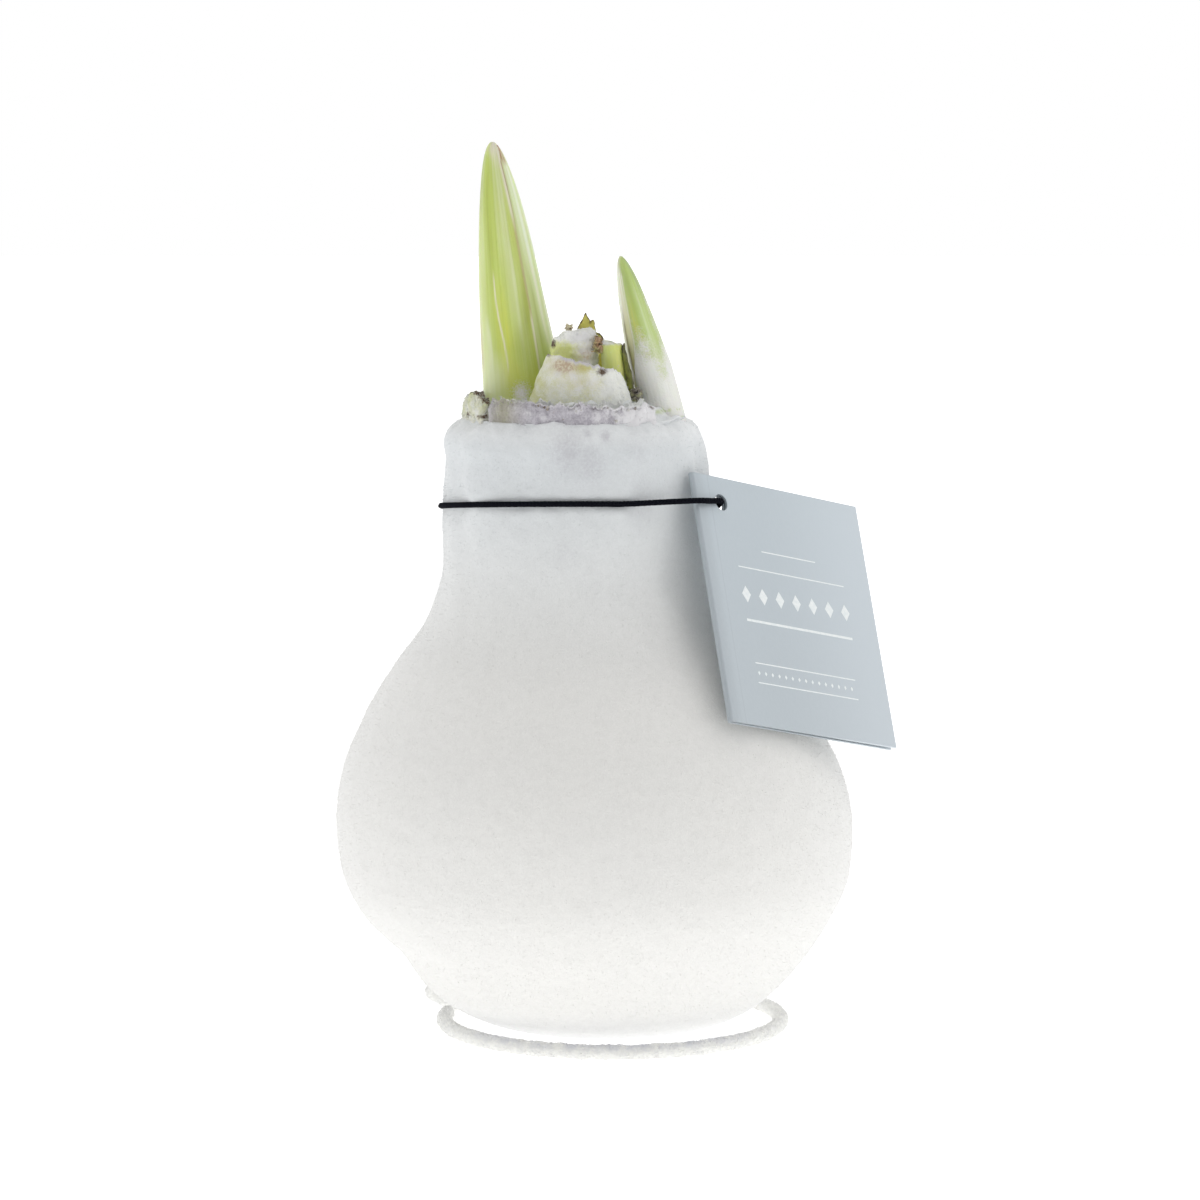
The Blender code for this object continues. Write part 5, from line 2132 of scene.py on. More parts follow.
@dataclass
class LargeShoot(Shoot):
    """Tall left shoot, open to the right."""

    name: str = "shoot_large"
    tip: Triple = (-20.0, 4.4, 156.2)
    slope: Pair = (0.128, 0.025)
    half_widths: Pair = (7.4, 4.7)
    taper_length: float = 44.0
    opening: Opening = Opening.RIGHT
    half_opening: float = 61.0
    finishes: tuple[str, str] = ("green", "pale_green")
    outer_streaks: tuple[Streak, ...] = (
        # Pale middle band, partly painted highlight.
        Streak("pale", ((0, 0, 0.9, 0.5), (3, 0.1, 0.5, 0.5), (8, 0.1, 0.34, 0.55),
                        (16, 0.02, 0.28, 0.5), (24, 0.08, 0.19, 0.65), (31, 0.1, 0.16, 0.5),
                        (36, 0.14, 0.12, 0.15), (44, 0.14, 0.1, 0))),
        # Painted light that lifts the shade at the foot.
        Streak("pale", ((36, -0.62, 0.3, 0), (41, -0.64, 0.32, 0.6),
                        (48, -0.6, 0.34, 0.6))),
        Streak("gold", ((37, -0.1, 0.4, 0), (42, -0.1, 0.5, 0.9), (50, 0, 0.7, 0.9))),
        Streak("cream", ((0, -0.1, 0.9, 0.95), (1.6, -0.05, 0.6, 0.8), (3.4, 0, 0.3, 0.3),
                         (5, 0, 0.2, 0))),
        # Painted rim light along the left edge.
        Streak("pale", ((1, -1.05, 0.2, 0.5), (20, -1, 0.2, 0.7), (34, -0.95, 0.2, 0.75),
                        (50, -0.95, 0.2, 0.7))),
        Streak("pale", ((30, -0.78, 0.05, 0), (34, -0.77, 0.05, 0.8),
                        (44, -0.74, 0.05, 0.6), (48, -0.73, 0.05, 0))),
        Streak("gold", ((22, -0.4, 0.1, 0), (28, -0.33, 0.18, 0.6), (36, -0.3, 0.22, 0.8),
                        (44, -0.28, 0.28, 0.6), (54, -0.3, 0.3, 0.3))),
        # Dark olive band beside the margin and down to the foot, partly painted shade.
        Streak("deep", ((20, 0.38, 0.08, 0), (27, 0.34, 0.12, 0.6), (31, 0.3, 0.14, 0.8),
                        (36, 0.08, 0.3, 0.6), (40, 0.05, 0.3, 0.25), (46, 0, 0.3, 0))),
        Streak("deep", ((3, -0.62, 0.14, 0), (9, -0.64, 0.14, 0.45),
                        (18, -0.6, 0.14, 0.45), (28, -0.6, 0.12, 0))),
        # Thin painted highlight line on the left third.
        Streak("cream", ((22, -0.54, 0.02, 0), (24, -0.52, 0.022, 0.9),
                         (36, -0.38, 0.022, 0.9), (39, -0.34, 0.022, 0.7),
                         (41, -0.33, 0.02, 0))),
        Streak("cream", ((0, 0.2, 0.5, 0.9), (3, 0.22, 0.36, 0.9), (12, 0.2, 0.26, 0.85),
                         (16, 0.1, 0.2, 0.3), (29, 0.12, 0.16, 0.3), (31, 0.2, 0.24, 0.85),
                         (40, 0.2, 0.22, 0.8), (46, 0.2, 0.2, 0.2)), from_margin=True),
        Streak("dry", ((12, 0.12, 0.2, 0), (16, 0.14, 0.26, 0.5), (29, 0.12, 0.24, 0.5),
                       (32, 0.1, 0.2, 0)), from_margin=True),
        Streak("dry", ((22, -1, 0.03, 0), (27, -1, 0.04, 0.45),
                       (38, -1, 0.04, 0.35), (42, -1, 0.03, 0))),
    )
    inner_streaks: tuple[Streak, ...] = (
        # Dark olive band beside the outer leaf's margin, partly painted shade.
        Streak("deep", ((20, 0.58, 0.05, 0), (27, 0.62, 0.08, 0.6), (38, 0.7, 0.11, 0.8),
                        (50, 0.8, 0.14, 0.7))),
        # Pale right side, mostly painted rim light.
        Streak("pale", ((2, 0.8, 0.4, 0.5), (14, 0.86, 0.25, 0.8), (30, 0.9, 0.16, 0.95),
                        (50, 0.97, 0.12, 0.9))),
        Streak("cream", ((16, 0.74, 0.03, 0), (22, 0.75, 0.03, 0.6), (34, 0.8, 0.03, 0.6),
                         (40, 0.83, 0.03, 0))),
        # Painted rim light along the right edge.
        Streak("cream", ((26, 1, 0.06, 0), (30, 1, 0.08, 0.7), (44, 1, 0.08, 0.7))),
        Streak("dry", ((0, 0.6, 0.5, 0.45), (3, 0.72, 0.26, 0.6), (4.4, 0.7, 0.2, 0))),
        Streak("dry", ((0.4, -0.14, 0.22, 0.9), (13, -0.12, 0.2, 0.95), (16, -0.1, 0.2, 0.5),
                       (30, -0.1, 0.2, 0.5), (44, -0.1, 0.2, 0.35)), from_margin=True),
    )

    def flock(self, spots: Array, depth: Array, across: Array, outer: bool) -> Any:
        """White tufts at the foot, most of them beside the broad stub.

        Args:
            spots: places on the leaf.
            depth: their depths under the tip; not used here.
            across: their places across the shoot, from -1 to 1; not used here.
            outer: whether it is the outer leaf; not used here.

        Returns:
            Shares from 0 to 1, or past them before they are clipped.
        """
        tuft = hump((spots[:, 0], -15.0, 1.8), (spots[:, 2], 112.3, 2.2))
        low = smooth_step(spots[:, 2], 111.6, 110.0)
        return 0.8 * tuft + 0.5 * low + 0.10 * low * waves(spots, 2.0, 212)


@dataclass
class SmallShoot(Shoot):
    """Small right shoot, open to the left, half under flock."""

    name: str = "shoot_small"
    tip: Triple = (2.35, 1.0, 136.4)
    slope: Pair = (0.268, 0.01)
    half_widths: Pair = (3.95, 6.0)
    taper_length: float = 19.0
    opening: Opening = Opening.LEFT
    half_opening: float = 56.0
    finishes: tuple[str, str] = ("small_green", "cream_leaf")
    closing: float = 0.42
    columns: int = 132
    rows: int = 130
    outer_streaks: tuple[Streak, ...] = (
        Streak("gold", ((5, -0.2, 0.2, 0), (11, -0.3, 0.28, 0.6), (18, 0.2, 0.4, 0.6),
                        (22, 0.45, 0.3, 0.5), (27, 0.5, 0.3, 0.3))),
        Streak("pale", ((3, 0.3, 0.12, 0), (7, 0.35, 0.14, 0.4), (16, 0.45, 0.2, 0.5),
                        (22, 0.4, 0.3, 0.3))),
        Streak("deep", ((0.4, 0.9, 0.3, 0.7), (5, 0.93, 0.16, 0.6), (9, 0.95, 0.1, 0))),
        Streak("cream", ((0, 0.1, 0.5, 1), (5, 0.2, 0.34, 1), (16, 0.24, 0.34, 1),
                         (23, 0.24, 0.3, 1), (27, 0.2, 0.2, 0.5)), from_margin=True),
        # Painted shade beside the outer leaf's margin.
        Streak("deep", ((12, 0.6, 0.2, 0), (18, 0.55, 0.3, 0.15), (24, 0.55, 0.4, 0.3),
                        (28, 0.5, 0.4, 0.2)), from_margin=True),
    )
    inner_streaks: tuple[Streak, ...] = (
        Streak("cream", ((0, -0.8, 0.8, 1), (8, -0.9, 0.36, 1), (12, -0.98, 0.2, 1),
                         (20, -1, 0.12, 0.9), (25, -1, 0.08, 0.5))),
        Streak("dry", ((8.5, -0.76, 0.03, 0), (12, -0.78, 0.05, 0.6), (18, -0.84, 0.05, 0.8),
                       (24, -0.92, 0.05, 0.5))),
        Streak("gold", ((10, -0.88, 0.06, 0), (15, -0.9, 0.07, 0.9), (20, -0.92, 0.3, 1),
                        (30, -0.95, 0.3, 1))),
        Streak("dry", ((8, -0.1, 0.1, 0), (12, -0.1, 0.12, 0.3), (24, -0.1, 0.14, 0.45)),
               from_margin=True),
    )

    def flock(self, spots: Array, depth: Array, across: Array, outer: bool) -> Any:
        """Grainy flock that thickens downwards and over the right edge and the back.

        Args:
            spots: places on the leaf.
            depth: their depths under the tip.
            across: their places across the shoot, from -1 to 1.
            outer: whether it is the outer leaf.

        Returns:
            Shares from 0 to 1, or past them before they are clipped.
        """
        if not outer:
            return 0.5 * smooth_step(spots[:, 2], 112.6, 110.6)
        back = smooth_step(spots[:, 1] - self.tip[1], 0.5, 3.5)
        line = 9.8 + 3.2 * smooth_step(across, 0.0, 0.5) - 4.6 * back
        cover = np.clip((depth - line) / 11.0, 0.0, 1.1)
        cover += 0.46 * smooth_step(across, 0.62, 1.0) * smooth_step(depth, 2.0, 8.0)
        cover += 0.16 * smooth_step(waves(spots, 2.6, 223), 0.2, 1.2) * smooth_step(depth, 3.0, 8.0)
        cover += 0.06 * waves(spots, 4.0, 221) * smooth_step(depth, 8.0, 14.0)
        bare = hump((depth, 26.6, 0.6)) * smooth_step(across, -0.6, -0.2)
        return cover - 0.55 * bare * (1.0 + 0.5 * waves(spots, 1.5, 222))


@dataclass
class HangTag:
    """Folded card with a punched hole and plain printed marks."""

    width: float = 42.9
    height: float = 45.3
    corner: Triple = (14.6, -14.8, 100.05)
    turn: Triple = (-23.3, 12.0, 44.8)
    leaf: float = 0.45
    gap_at_fold: float = 0.35
    gap_at_edge: float = 0.8
    hole: Pair = (6.45, -4.7)
    hole_radius: float = 1.5
    edge_round: float = 0.05
    ink_rise: float = 0.03
    inside_depth: float = 1.2
    # Rows of diamonds as (count, spacing, size, place of the first)
    diamonds: tuple[tuple[int, float, float, Pair], ...] = (
        (7, 4.3, 1.55, (9.2, -21.2)), (15, 1.72, 0.42, (9.2, -35.6)))
    # Rules as (place across, place up, width, height)
    rules: tuple[tuple[float, float, float, float], ...] = (
        (22.0, -16.2, 27.5, 0.22), (22.0, -26.0, 27.5, 0.45), (21.6, -33.8, 26.0, 0.22),
        (21.6, -37.4, 26.0, 0.22), (22.0, -12.6, 14.0, 0.22))

    def matrix(self) -> Matrix:
        """Place of the card's upper fold corner, in millimetres."""
        turn = Euler([math.radians(angle) for angle in self.turn]).to_matrix().to_4x4()
        return Matrix.Translation(Vector(self.corner)) @ turn

    def outline(self) -> list[Pair]:
        """Cross section of the folded card, with its front along X at Y 0.

        Returns:
            Points of the outline in order.
        """
        half = self.leaf + self.gap_at_fold / 2
        back = self.leaf + self.gap_at_edge
        middle = Vector((half, half, 0.0))
        fold = [direction(angle) * half + middle for angle in range(94, 268, 8)]
        inside = [direction(angle) * (self.gap_at_fold / 2) + middle
                  for angle in range(250, 100, -16)]
        return ([(half, 0.0), (self.width, 0.0), (self.width, self.leaf), (half, self.leaf)]
                + [(point.x, point.y) for point in inside]
                + [(half, self.leaf + self.gap_at_fold), (self.width, back),
                   (self.width, back + self.leaf), (half, 2 * half)]
                + [(point.x, point.y) for point in fold])

    def placed(self, data: Mesh) -> Mesh:
        """Move a mesh in the card's own frame, in metres, to its place.

        Args:
            data: the mesh.

        Returns:
            The same mesh.
        """
        matrix = self.matrix()
        data.transform(Matrix.Translation(matrix.translation * MM) @ matrix.to_3x3().to_4x4())
        return data

    def card(self) -> Mesh:
        """Card with its hole, and its cut edges as the second material.

        Returns:
            The mesh.
        """
        body = bmesh.new()
        face = body.faces.new([body.verts.new((x * MM, y * MM, 0.0)) for x, y in self.outline()])
        made = bmesh.ops.extrude_face_region(body, geom=[face])
        moved = [item for item in made["geom"] if isinstance(item, bmesh.types.BMVert)]
        bmesh.ops.translate(body, verts=moved, vec=(0.0, 0.0, -self.height * MM))
        bmesh.ops.recalc_face_normals(body, faces=body.faces)
        carrier = linked("card", kept("card", body))
        punch = self.punch()
        cut = carrier.modifiers.new("hole", "BOOLEAN")
        cut.operation, cut.solver, cut.object = "DIFFERENCE", "EXACT", punch
        soften = carrier.modifiers.new("edges", "BEVEL")
        soften.width, soften.segments = self.edge_round * MM, 2
        soften.limit_method, soften.angle_limit = "ANGLE", math.radians(50.0)
        card = taken_from(carrier)
        bpy.data.objects.remove(punch)
        self.map_card(card)
        return self.placed(card)

    def punch(self) -> bpy.types.Object:
        """Round cutter for the hole.

        Returns:
            The cutter.
        """
        body = bmesh.new()
        bmesh.ops.create_cone(body, cap_ends=True, segments=48, radius1=self.hole_radius * MM,
                              radius2=self.hole_radius * MM, depth=8.0 * MM)
        place = Matrix.Translation(Vector((self.hole[0], 0.0, self.hole[1])) * MM)
        body.transform(place @ Matrix.Rotation(math.pi / 2, 4, "X"))
        return linked("punch", kept("punch", body))

    def map_card(self, card: Mesh) -> None:
        """Give the card its UV map and its cut edges their material.

        Args:
            card: mesh of the card.
        """
        layer = card.uv_layers.new(name="UVMap")
        for face in card.polygons:
            normal, middle = face.normal, face.center / MM
            end = abs(normal.z) > 0.6 or (normal.x > 0.6 and middle.x > self.width - 0.3)
            away = math.hypot(middle.x - self.hole[0], middle.z - self.hole[1])
            rim = away < self.hole_radius + 0.08
            inside = abs(normal.y) > 0.5 and 0.3 < middle.y < self.inside_depth
            face.material_index = 1 if end or rim or inside else 0
            face.use_smooth = False
            for loop in face.loop_indices:
                spot = card.vertices[card.loops[loop].vertex_index].co / MM
                layer.data[loop].uv = (spot.x / self.width, 1.0 + spot.z / self.height)

    def bar(self, x: float, z: float, width: float, height: float) -> Mesh:
        """Thin printed rule on the front.

        Args:
            x: place across.
            z: place up.
            width: its width.
            height: its height.

        Returns:
            The mesh.
        """
        body = bmesh.new()
        bmesh.ops.create_cube(body, size=1.0)
        scale = Matrix.Diagonal((width * MM, self.ink_rise * MM, height * MM, 1.0))
        body.transform(Matrix.Translation(Vector((x, 0.0, z)) * MM) @ scale)
        return kept("bar", body)

    def marks(self, shop: Workshop) -> Mesh:
        """Generic printed marks: two rows of diamonds between plain rules.

        Args:
            shop: materials and makers.

        Returns:
            The mesh.
        """
        joined = bmesh.new()
        for count, spacing, size, (x, z) in self.diamonds:
            row = shop.makers.run(shop.makers.motifs, bpy.data.meshes.new("seed"), {
                "Count": count, "Spacing": spacing * MM, "Size": size * MM,
                "Thickness": self.ink_rise * MM, "Material": shop.materials["ink"]})
            row.transform(Matrix.Translation(Vector((x, 0.0, z)) * MM))
            joined.from_mesh(row)
        for rule in self.rules:
            joined.from_mesh(self.bar(*rule))
        return self.placed(kept("marks", joined))

    def dress(self, shop: Workshop) -> None:
        """Show the card and its marks."""
        shop.show("folded_tag", self.card(), "card core", "hang_tag")
        shop.show("tag_marks", self.marks(shop), "ink")


@dataclass
class NeckCord:
    """Elastic cord, an endless loop round the neck and through the tag's hole."""

    bulb: CoatedBulb
    tag: HangTag
    sink: float = 0.1
    stand_off: float = 0.5
    step: float = 4.0
    at_tag: tuple[Triple, ...] = (
        (-0.3, -0.95, -5.75), (3.0, -0.9, -5.3), (5.35, -0.75, -4.85), (6.5, 0.1, -4.7),
        (7.0, 1.2, -4.7), (7.4, 2.5, -4.8),
    )
    yarns: int = 8
    pitch: float = 2.6
    winding_radius: float = 0.36
    yarn_radius: float = 0.155
    weave: float = 0.035
    yarn_step: float = 0.24

    def neck_point(self, angle: float) -> Vector:
        """Point just at the coat where the cord runs round the neck.

        Args:
            angle: direction.

        Returns:
            The point.
        """
        bulb = self.bulb
        rise = -direction(angle).y * bulb.side_radius(bulb.cord_height) * bulb.cord_rise
        height = bulb.cord_height + rise
        stand_off = self.sink + self.stand_off * math.exp(-(wrapped(angle - 183.0) / 36.0) ** 2)
        spot = direction(angle) * (bulb.side_radius(height) + stand_off)
        return spot + Vector((bulb.lean(height), 0.0, height))

    def path(self) -> list[Vector]:
        """Closed loop round the neck, over the tag's fold and down through its hole.

        Returns:
            Points of the loop in order.
        """
        bulb = self.bulb
        turn = bulb.cord_leaves - bulb.cord_meets
        count = round(turn / self.step)
        angles = [bulb.cord_meets + turn * index / count for index in range(count + 1)]
        around = [self.neck_point(angle) for angle in angles]
        at_tag = [self.tag.matrix() @ Vector(point) for point in self.at_tag]
        bridge = smooth_path([around[-2], around[-1]] + at_tag + [around[0], around[1]], 0.8)
        return around + bridge[bridge.index(around[-1]) + 1:bridge.index(around[0])]

    def dress(self, shop: Workshop) -> None:
        """Show the braided cord.

        Args:
            shop: materials and makers.
        """
        curve = bpy.data.curves.new("cord_path", "CURVE")
        curve.dimensions = "3D"
        spline = curve.splines.new("POLY")
        points = self.path()
        spline.points.add(len(points) - 1)
        for target, point in zip(spline.points, points):
            target.co = (*(point * MM), 1.0)
        spline.use_cyclic_u = True
        data = shop.makers.run(shop.makers.braid, curve, {
            "Yarns": self.yarns, "Pitch": self.pitch * MM,
            "Winding radius": self.winding_radius * MM, "Yarn radius": self.yarn_radius * MM,
            "Weave": self.weave * MM, "Step": self.yarn_step * MM,
            "Material": shop.materials["elastic"]})
        outwards(data)
        shop.show("elastic_cord", data, "elastic", "neck_cord")


@dataclass
class RingStand:
    """Flocked wire ring whose end rises behind the bulb and enters its base."""

    diameter: float = 2.8
    ring_radius: float = 29.8
    ring_x: float = 1.0
    free_end: float = 168.0
    turn: float = 342.0
    prong_direction: float = 169.0
    prong_mouth: Pair = (31.1, 5.8)
    prong_end: Pair = (22.0, 13.2)
    # Rise behind the bulb as (radius, direction, height)
    rise: tuple[Triple, ...] = (
        (29.6, 156.5, 1.75), (30.5, 161.0, 2.8), (31.5, 165.5, 4.1), (31.9, 168.2, 5.0))
    skin: float = 1.26
    sides: int = 28

    @staticmethod
    def base_point(radius: float, angle: float, height: float) -> Vector:
        """Point round the bulb's base."""
        return direction(angle) * radius + Vector((0.0, 0.0, height))

    def path(self) -> list[Vector]:
        """Middle of the wire from its free end to the end of the prong.

        Returns:
            Points of the line in order.
        """
        half = self.diameter / 2
        count = round(self.turn)
        ring = [direction(self.free_end + self.turn * index / count) * self.ring_radius
                + Vector((self.ring_x, 0.0, half)) for index in range(count + 1)]
        mouth = self.base_point(self.prong_mouth[0], self.prong_direction, self.prong_mouth[1])
        end = self.base_point(self.prong_end[0], self.prong_direction, self.prong_end[1])
        rise = smooth_path([ring[-1]] + [self.base_point(*point) for point in self.rise]
                           + [mouth, mouth.lerp(end, 0.2), end], 0.5)
        return ring + rise[1:]

    def build(self) -> Mesh:
        """Uneven skin of the flocked wire with rounded ends.

        Returns:
            The mesh.
        """
        path = self.path()
        lengths = [0.0]
        for before, after in zip(path, path[1:]):
            lengths.append(lengths[-1] + (after - before).length)
        turns = [FULL_TURN * side / self.sides for side in range(self.sides)]
        rings = []
        for index, point in enumerate(path):
            ahead = path[min(index + 1, len(path) - 1)] - path[max(index - 1, 0)]
            ahead.normalize()
            side = ahead.cross(Vector((0.0, 0.0, 1.0))).normalized()
            high = side.cross(ahead)
            near = min(lengths[index], lengths[-1] - lengths[index])
            cap = math.sqrt(max(0.0, 1.0 - max(0.0, 1.0 - near / self.skin) ** 2))
            rings.append([tuple(point + (side * math.cos(turn) + high * math.sin(turn))
                                * self.skin * max(cap, 0.08)) for turn in turns])
        grid = np.array(rings)
        middle = np.array([tuple(point) for point in path])[:, None, :]
        out = grid - middle
        out /= np.maximum(np.linalg.norm(out, axis=-1, keepdims=True), 1e-6)
        lump = 0.050 * waves(grid, 1.3, 301) + 0.045 * waves(grid, 0.55, 302)
        grid = grid + out * lump[..., None]
        data = tube("flocked_ring", grid, middle[0, 0], middle[-1, 0], sharp=85.0)
        paint(data, grains=1.0, fibres=1.0)
        return data

    @staticmethod
    def on_floor(data: Mesh) -> Mesh:
        """Keep a mesh above the surface that the ring lies on.

        Args:
            data: the mesh.

        Returns:
            The same mesh.
        """
        spots = places(data)
        spots[:, 2] = np.maximum(spots[:, 2], 0.0)
        data.vertices.foreach_set("co", (spots * MM).astype(np.float32).ravel())
        data.update()
        return data

    def dress(self, shop: Workshop) -> None:
        """Show the ring with its grains and fibres.

        Args:
            shop: materials and makers.
        """
        data = self.build()
        grains = shop.grains(data, 2.6e6, (0.08, 0.19), 0.85, 7, "wire")
        fuzz = shop.fibres(data, 9.0e6, 0.36, 0.04, 0.6, 8, "wire")
        shop.show("flocked_ring", self.on_floor(data), "wire", "wire_stand")
        shop.show("ring_grains", self.on_floor(grains), "wire")
        shop.show("ring_fibres", self.on_floor(fuzz), "wire")


@dataclass
class Studio:
    """Pale floor, soft light and the camera at the photograph's angle, in metres."""

    camera_place: Triple = (-0.00122, -0.873, 0.176)
    pitch: float = 6.53
    lens: float = 150.0
    sensor: float = 36.0
    clip: Pair = (0.01, 20.0)
    front_light: float = 0.41
    side_light: float = 1.03
    back_light: float = 0.80
    right_light: float = 0.085
    floor_colour: Colour = (0.93, 0.93, 0.93)
    floor_glow: float = 0.57
    floor_size: float = 3.0
    box_place: Triple = (-0.15, -0.35, 0.85)
    box_side: float = 0.5
    box_power: float = 0.35
    box_aim: Triple = (0.0, 0.0, 0.08)

    def camera(self) -> None:
        """Make the camera."""
        data = bpy.data.cameras.new("camera")
        data.lens, data.sensor_width = self.lens, self.sensor
        data.clip_start, data.clip_end = self.clip
        camera = linked("camera", data)
        camera.location = self.camera_place
        camera.rotation_euler = (math.radians(90.0 - self.pitch), 0.0, 0.0)
        bpy.context.scene.camera = camera

    def world(self) -> None:
        """Make soft light from all round, weaker from the front, before a white backdrop."""
        world = bpy.data.worlds.new("studio")
        world.use_nodes = True
        wires = Wiring(world.node_tree)
        light = world.node_tree.nodes["Background"]
        out = world.node_tree.nodes["World Output"]
        across, way, _ = wires.split(wires.add("ShaderNodeTexCoord").outputs["Generated"])
        front = wires.ramp(way, -1.0, 0.1, self.front_light, self.side_light)
        back = wires.ramp(way, 0.1, 1.0, 0.0, self.back_light - self.side_light)
        tilt = wires.times(across, self.right_light)
        light.inputs["Color"].default_value = (1.0, 1.0, 1.0, 1.0)
        wires.put(light, "Strength", wires.plus(wires.plus(front, back), tilt))
        white = wires.first("ShaderNodeBackground",
                            {"Color": (1.0, 1.0, 1.0, 1.0), "Strength": 1.0})
        choice = wires.first("ShaderNodeMixShader", {
            0: wires.add("ShaderNodeLightPath").outputs["Is Camera Ray"],
            1: light.outputs[0], 2: white})
        wires.put(out, "Surface", choice)
        bpy.context.scene.world = world

    def floor(self) -> None:
        """Make the pale floor."""
        body = bmesh.new()
        bmesh.ops.create_grid(body, x_segments=1, y_segments=1, size=self.floor_size)
        data = kept("floor", body)
        material = bpy.data.materials.new("floor")
        material.use_nodes = True
        shader = material.node_tree.nodes["Principled BSDF"]
        shader.inputs["Base Color"].default_value = (*self.floor_colour, 1.0)
        shader.inputs["Roughness"].default_value = 0.9
        shader.inputs["Emission Color"].default_value = (1.0, 1.0, 1.0, 1.0)
        shader.inputs["Emission Strength"].default_value = self.floor_glow
        data.materials.append(material)
        linked("floor", data)

    def lamp(self) -> None:
        """Make one soft box over the front that looks at the object's middle."""
        data = bpy.data.lights.new("soft_box_top", "AREA")
        data.shape, data.energy = "RECTANGLE", self.box_power
        data.size = data.size_y = self.box_side
        lamp = linked("soft_box_top", data)
        lamp.location = self.box_place
        aim = Vector(self.box_aim) - Vector(self.box_place)
        lamp.rotation_euler = aim.to_track_quat("-Z", "Y").to_euler()

    def dress(self) -> None:
        """Make the whole studio."""
        self.camera()
        self.world()
        self.floor()
        self.lamp()
        settings = bpy.context.scene.view_settings
        settings.view_transform, settings.look = "Standard", "None"


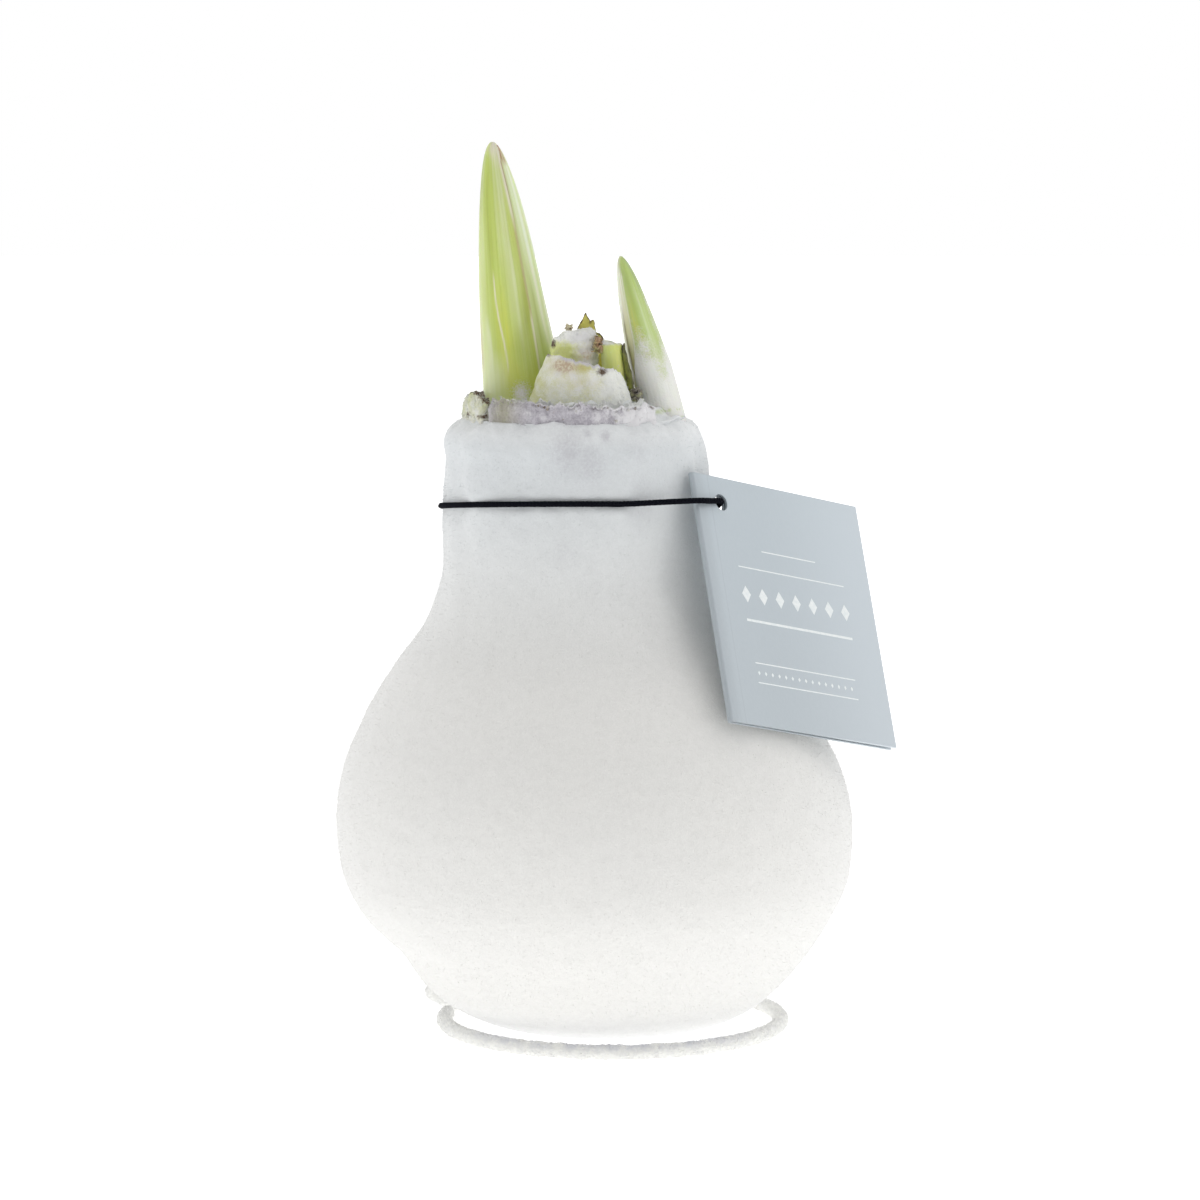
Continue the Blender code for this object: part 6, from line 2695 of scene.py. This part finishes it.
def make_workshop() -> Workshop:
    """Build the shared effects, every material and the node trees.

    Returns:
        The materials and the makers.
    """
    effects = SharedEffects()
    finishes = {
        "velvet": VelvetFinish(),
        "flesh": ScaleFinish("cut_flesh", (0.56, 0.55, 0.36), (0.66, 0.63, 0.46)),
        "dry_scale": ScaleFinish("dry_scale", (0.40, 0.38, 0.42), (0.54, 0.52, 0.56),
                                 edge=(0.20, 0.18, 0.19), flock=(0.73, 0.72, 0.735),
                                 green=(0.36, 0.34, 0.25), speck_mm=0.5),
        "fleshy_scale": ScaleFinish("fleshy_scale", (0.64, 0.64, 0.50), (0.74, 0.72, 0.64),
                                    flock=(0.72, 0.72, 0.73)),
        "white_scale": ScaleFinish("white_scale", (0.68, 0.67, 0.58), (0.78, 0.77, 0.73)),
        "stub": ScaleFinish("flocked_stub", (0.74, 0.75, 0.53), (0.82, 0.81, 0.67),
                            flock=(0.85, 0.86, 0.82), green=(0.56, 0.57, 0.19),
                            speck=(0.45, 0.29, 0.20), speck_share=0.74, speck_tint=0.34,
                            speck_mm=0.36),
        # Lighter copy of the flocked stub: painted light on the middle stub, which lies in shade.
        "stub_middle": ScaleFinish("flocked_stub_middle", (0.86, 0.86, 0.62), (0.90, 0.90, 0.74),
                                   flock=(0.90, 0.905, 0.885), green=(0.76, 0.82, 0.28),
                                   speck=(0.60, 0.42, 0.31), speck_share=0.7, speck_tint=0.3,
                                   speck_mm=0.36),
        "dry_leaf": ScaleFinish("dry_leaf", (0.58, 0.50, 0.15), (0.47, 0.39, 0.14),
                                green=(0.70, 0.65, 0.17), speck_share=0.4, speck_mm=0.5),
        # Near-black dried leaf, its darkness partly painted shade.
        "dark_leaf": ScaleFinish("dark_dry_leaf", (0.07, 0.075, 0.015), (0.16, 0.165, 0.03),
                                 edge=(0.05, 0.035, 0.02), green=(0.25, 0.27, 0.04),
                                 speck=(0.08, 0.06, 0.03), speck_mm=0.5),
        "brown_leaf": ScaleFinish("brown_dry_leaf", (0.37, 0.22, 0.12), (0.58, 0.41, 0.27),
                                  speck=(0.15, 0.09, 0.06), speck_mm=0.5),
        "crumb": ScaleFinish("dry_crumb", (0.26, 0.22, 0.18), (0.46, 0.42, 0.37)),
        "tan_leaf": ScaleFinish("tan_dry_leaf", (0.50, 0.42, 0.28), (0.62, 0.56, 0.42),
                                edge=(0.25, 0.16, 0.10), speck_mm=0.5),
        "dark_curl": ScaleFinish("dark_curled_leaf", (0.11, 0.09, 0.07), (0.22, 0.20, 0.18),
                                 edge=(0.05, 0.035, 0.025), speck=(0.06, 0.045, 0.03),
                                 speck_mm=0.5),
        "green": LeafFinish("shoot_green", (0.51, 0.625, 0.11), (0.54, 0.65, 0.16),
                            (0.60, 0.67, 0.075), (0.35, 0.41, 0.05), (0.71, 0.79, 0.43),
                            flock=(0.86, 0.87, 0.84)),
        "pale_green": LeafFinish("shoot_pale_green", (0.57, 0.65, 0.24), (0.61, 0.70, 0.31),
                                 (0.56, 0.56, 0.12), (0.37, 0.45, 0.06), (0.78, 0.85, 0.64)),
        "small_green": LeafFinish("small_shoot_green", (0.42, 0.57, 0.12), (0.46, 0.58, 0.17),
                                  (0.56, 0.60, 0.11), (0.28, 0.37, 0.11), (0.70, 0.78, 0.52),
                                  cream=(0.84, 0.85, 0.68), flock=(0.80, 0.82, 0.75),
                                  streaks_across=30.0),
        "cream_leaf": LeafFinish("small_shoot_cream", (0.66, 0.66, 0.34), (0.72, 0.73, 0.46),
                                 (0.56, 0.52, 0.09), (0.28, 0.26, 0.07), (0.82, 0.84, 0.66),
                                 cream=(0.92, 0.93, 0.80), dry=(0.19, 0.14, 0.05),
                                 streaks_across=30.0),
        "stub_green": LeafFinish("cut_leaf_green", (0.68, 0.78, 0.20), (0.73, 0.82, 0.28),
                                 (0.72, 0.76, 0.16), (0.34, 0.40, 0.07), (0.80, 0.86, 0.48),
                                 streaks_across=14.0),
        "card": CardFinish(),
        "elastic": PlainFinish("black_elastic", (0.0015, 0.002, 0.005), (0.009, 0.010, 0.016),
                               0.8, 0.05, 5200.0, grain_roughness=0.7, tones=(0.4, 0.8),
                               gloss=0.08),
        "wire": FlockedWireFinish(),
        "core": PlainFinish("tag_core", (0.72, 0.70, 0.62), (0.83, 0.82, 0.76), 0.8, 0.02,
                            3000.0),
        "ink": PlainFinish("tag_ink", (0.78, 0.83, 0.84), (0.86, 0.89, 0.89), 0.55, 0.004,
                           1500.0),
    }
    return Workshop({key: finish.material(effects) for key, finish in finishes.items()}, Makers())


def main() -> None:
    """Build the pieces in order, then the studio."""
    logging.basicConfig(level=logging.INFO, format="%(name)s: %(message)s")
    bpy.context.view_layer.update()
    shop = make_workshop()
    bulb = CoatedBulb()
    bulb.dress(shop)
    NeckScales().dress(shop)
    LeafStubs().dress(shop)
    LargeShoot().dress(shop)
    SmallShoot().dress(shop)
    tag = HangTag()
    tag.dress(shop)
    NeckCord(bulb, tag).dress(shop)
    RingStand().dress(shop)
    Studio().dress()


if __name__ == "__main__":
    main()
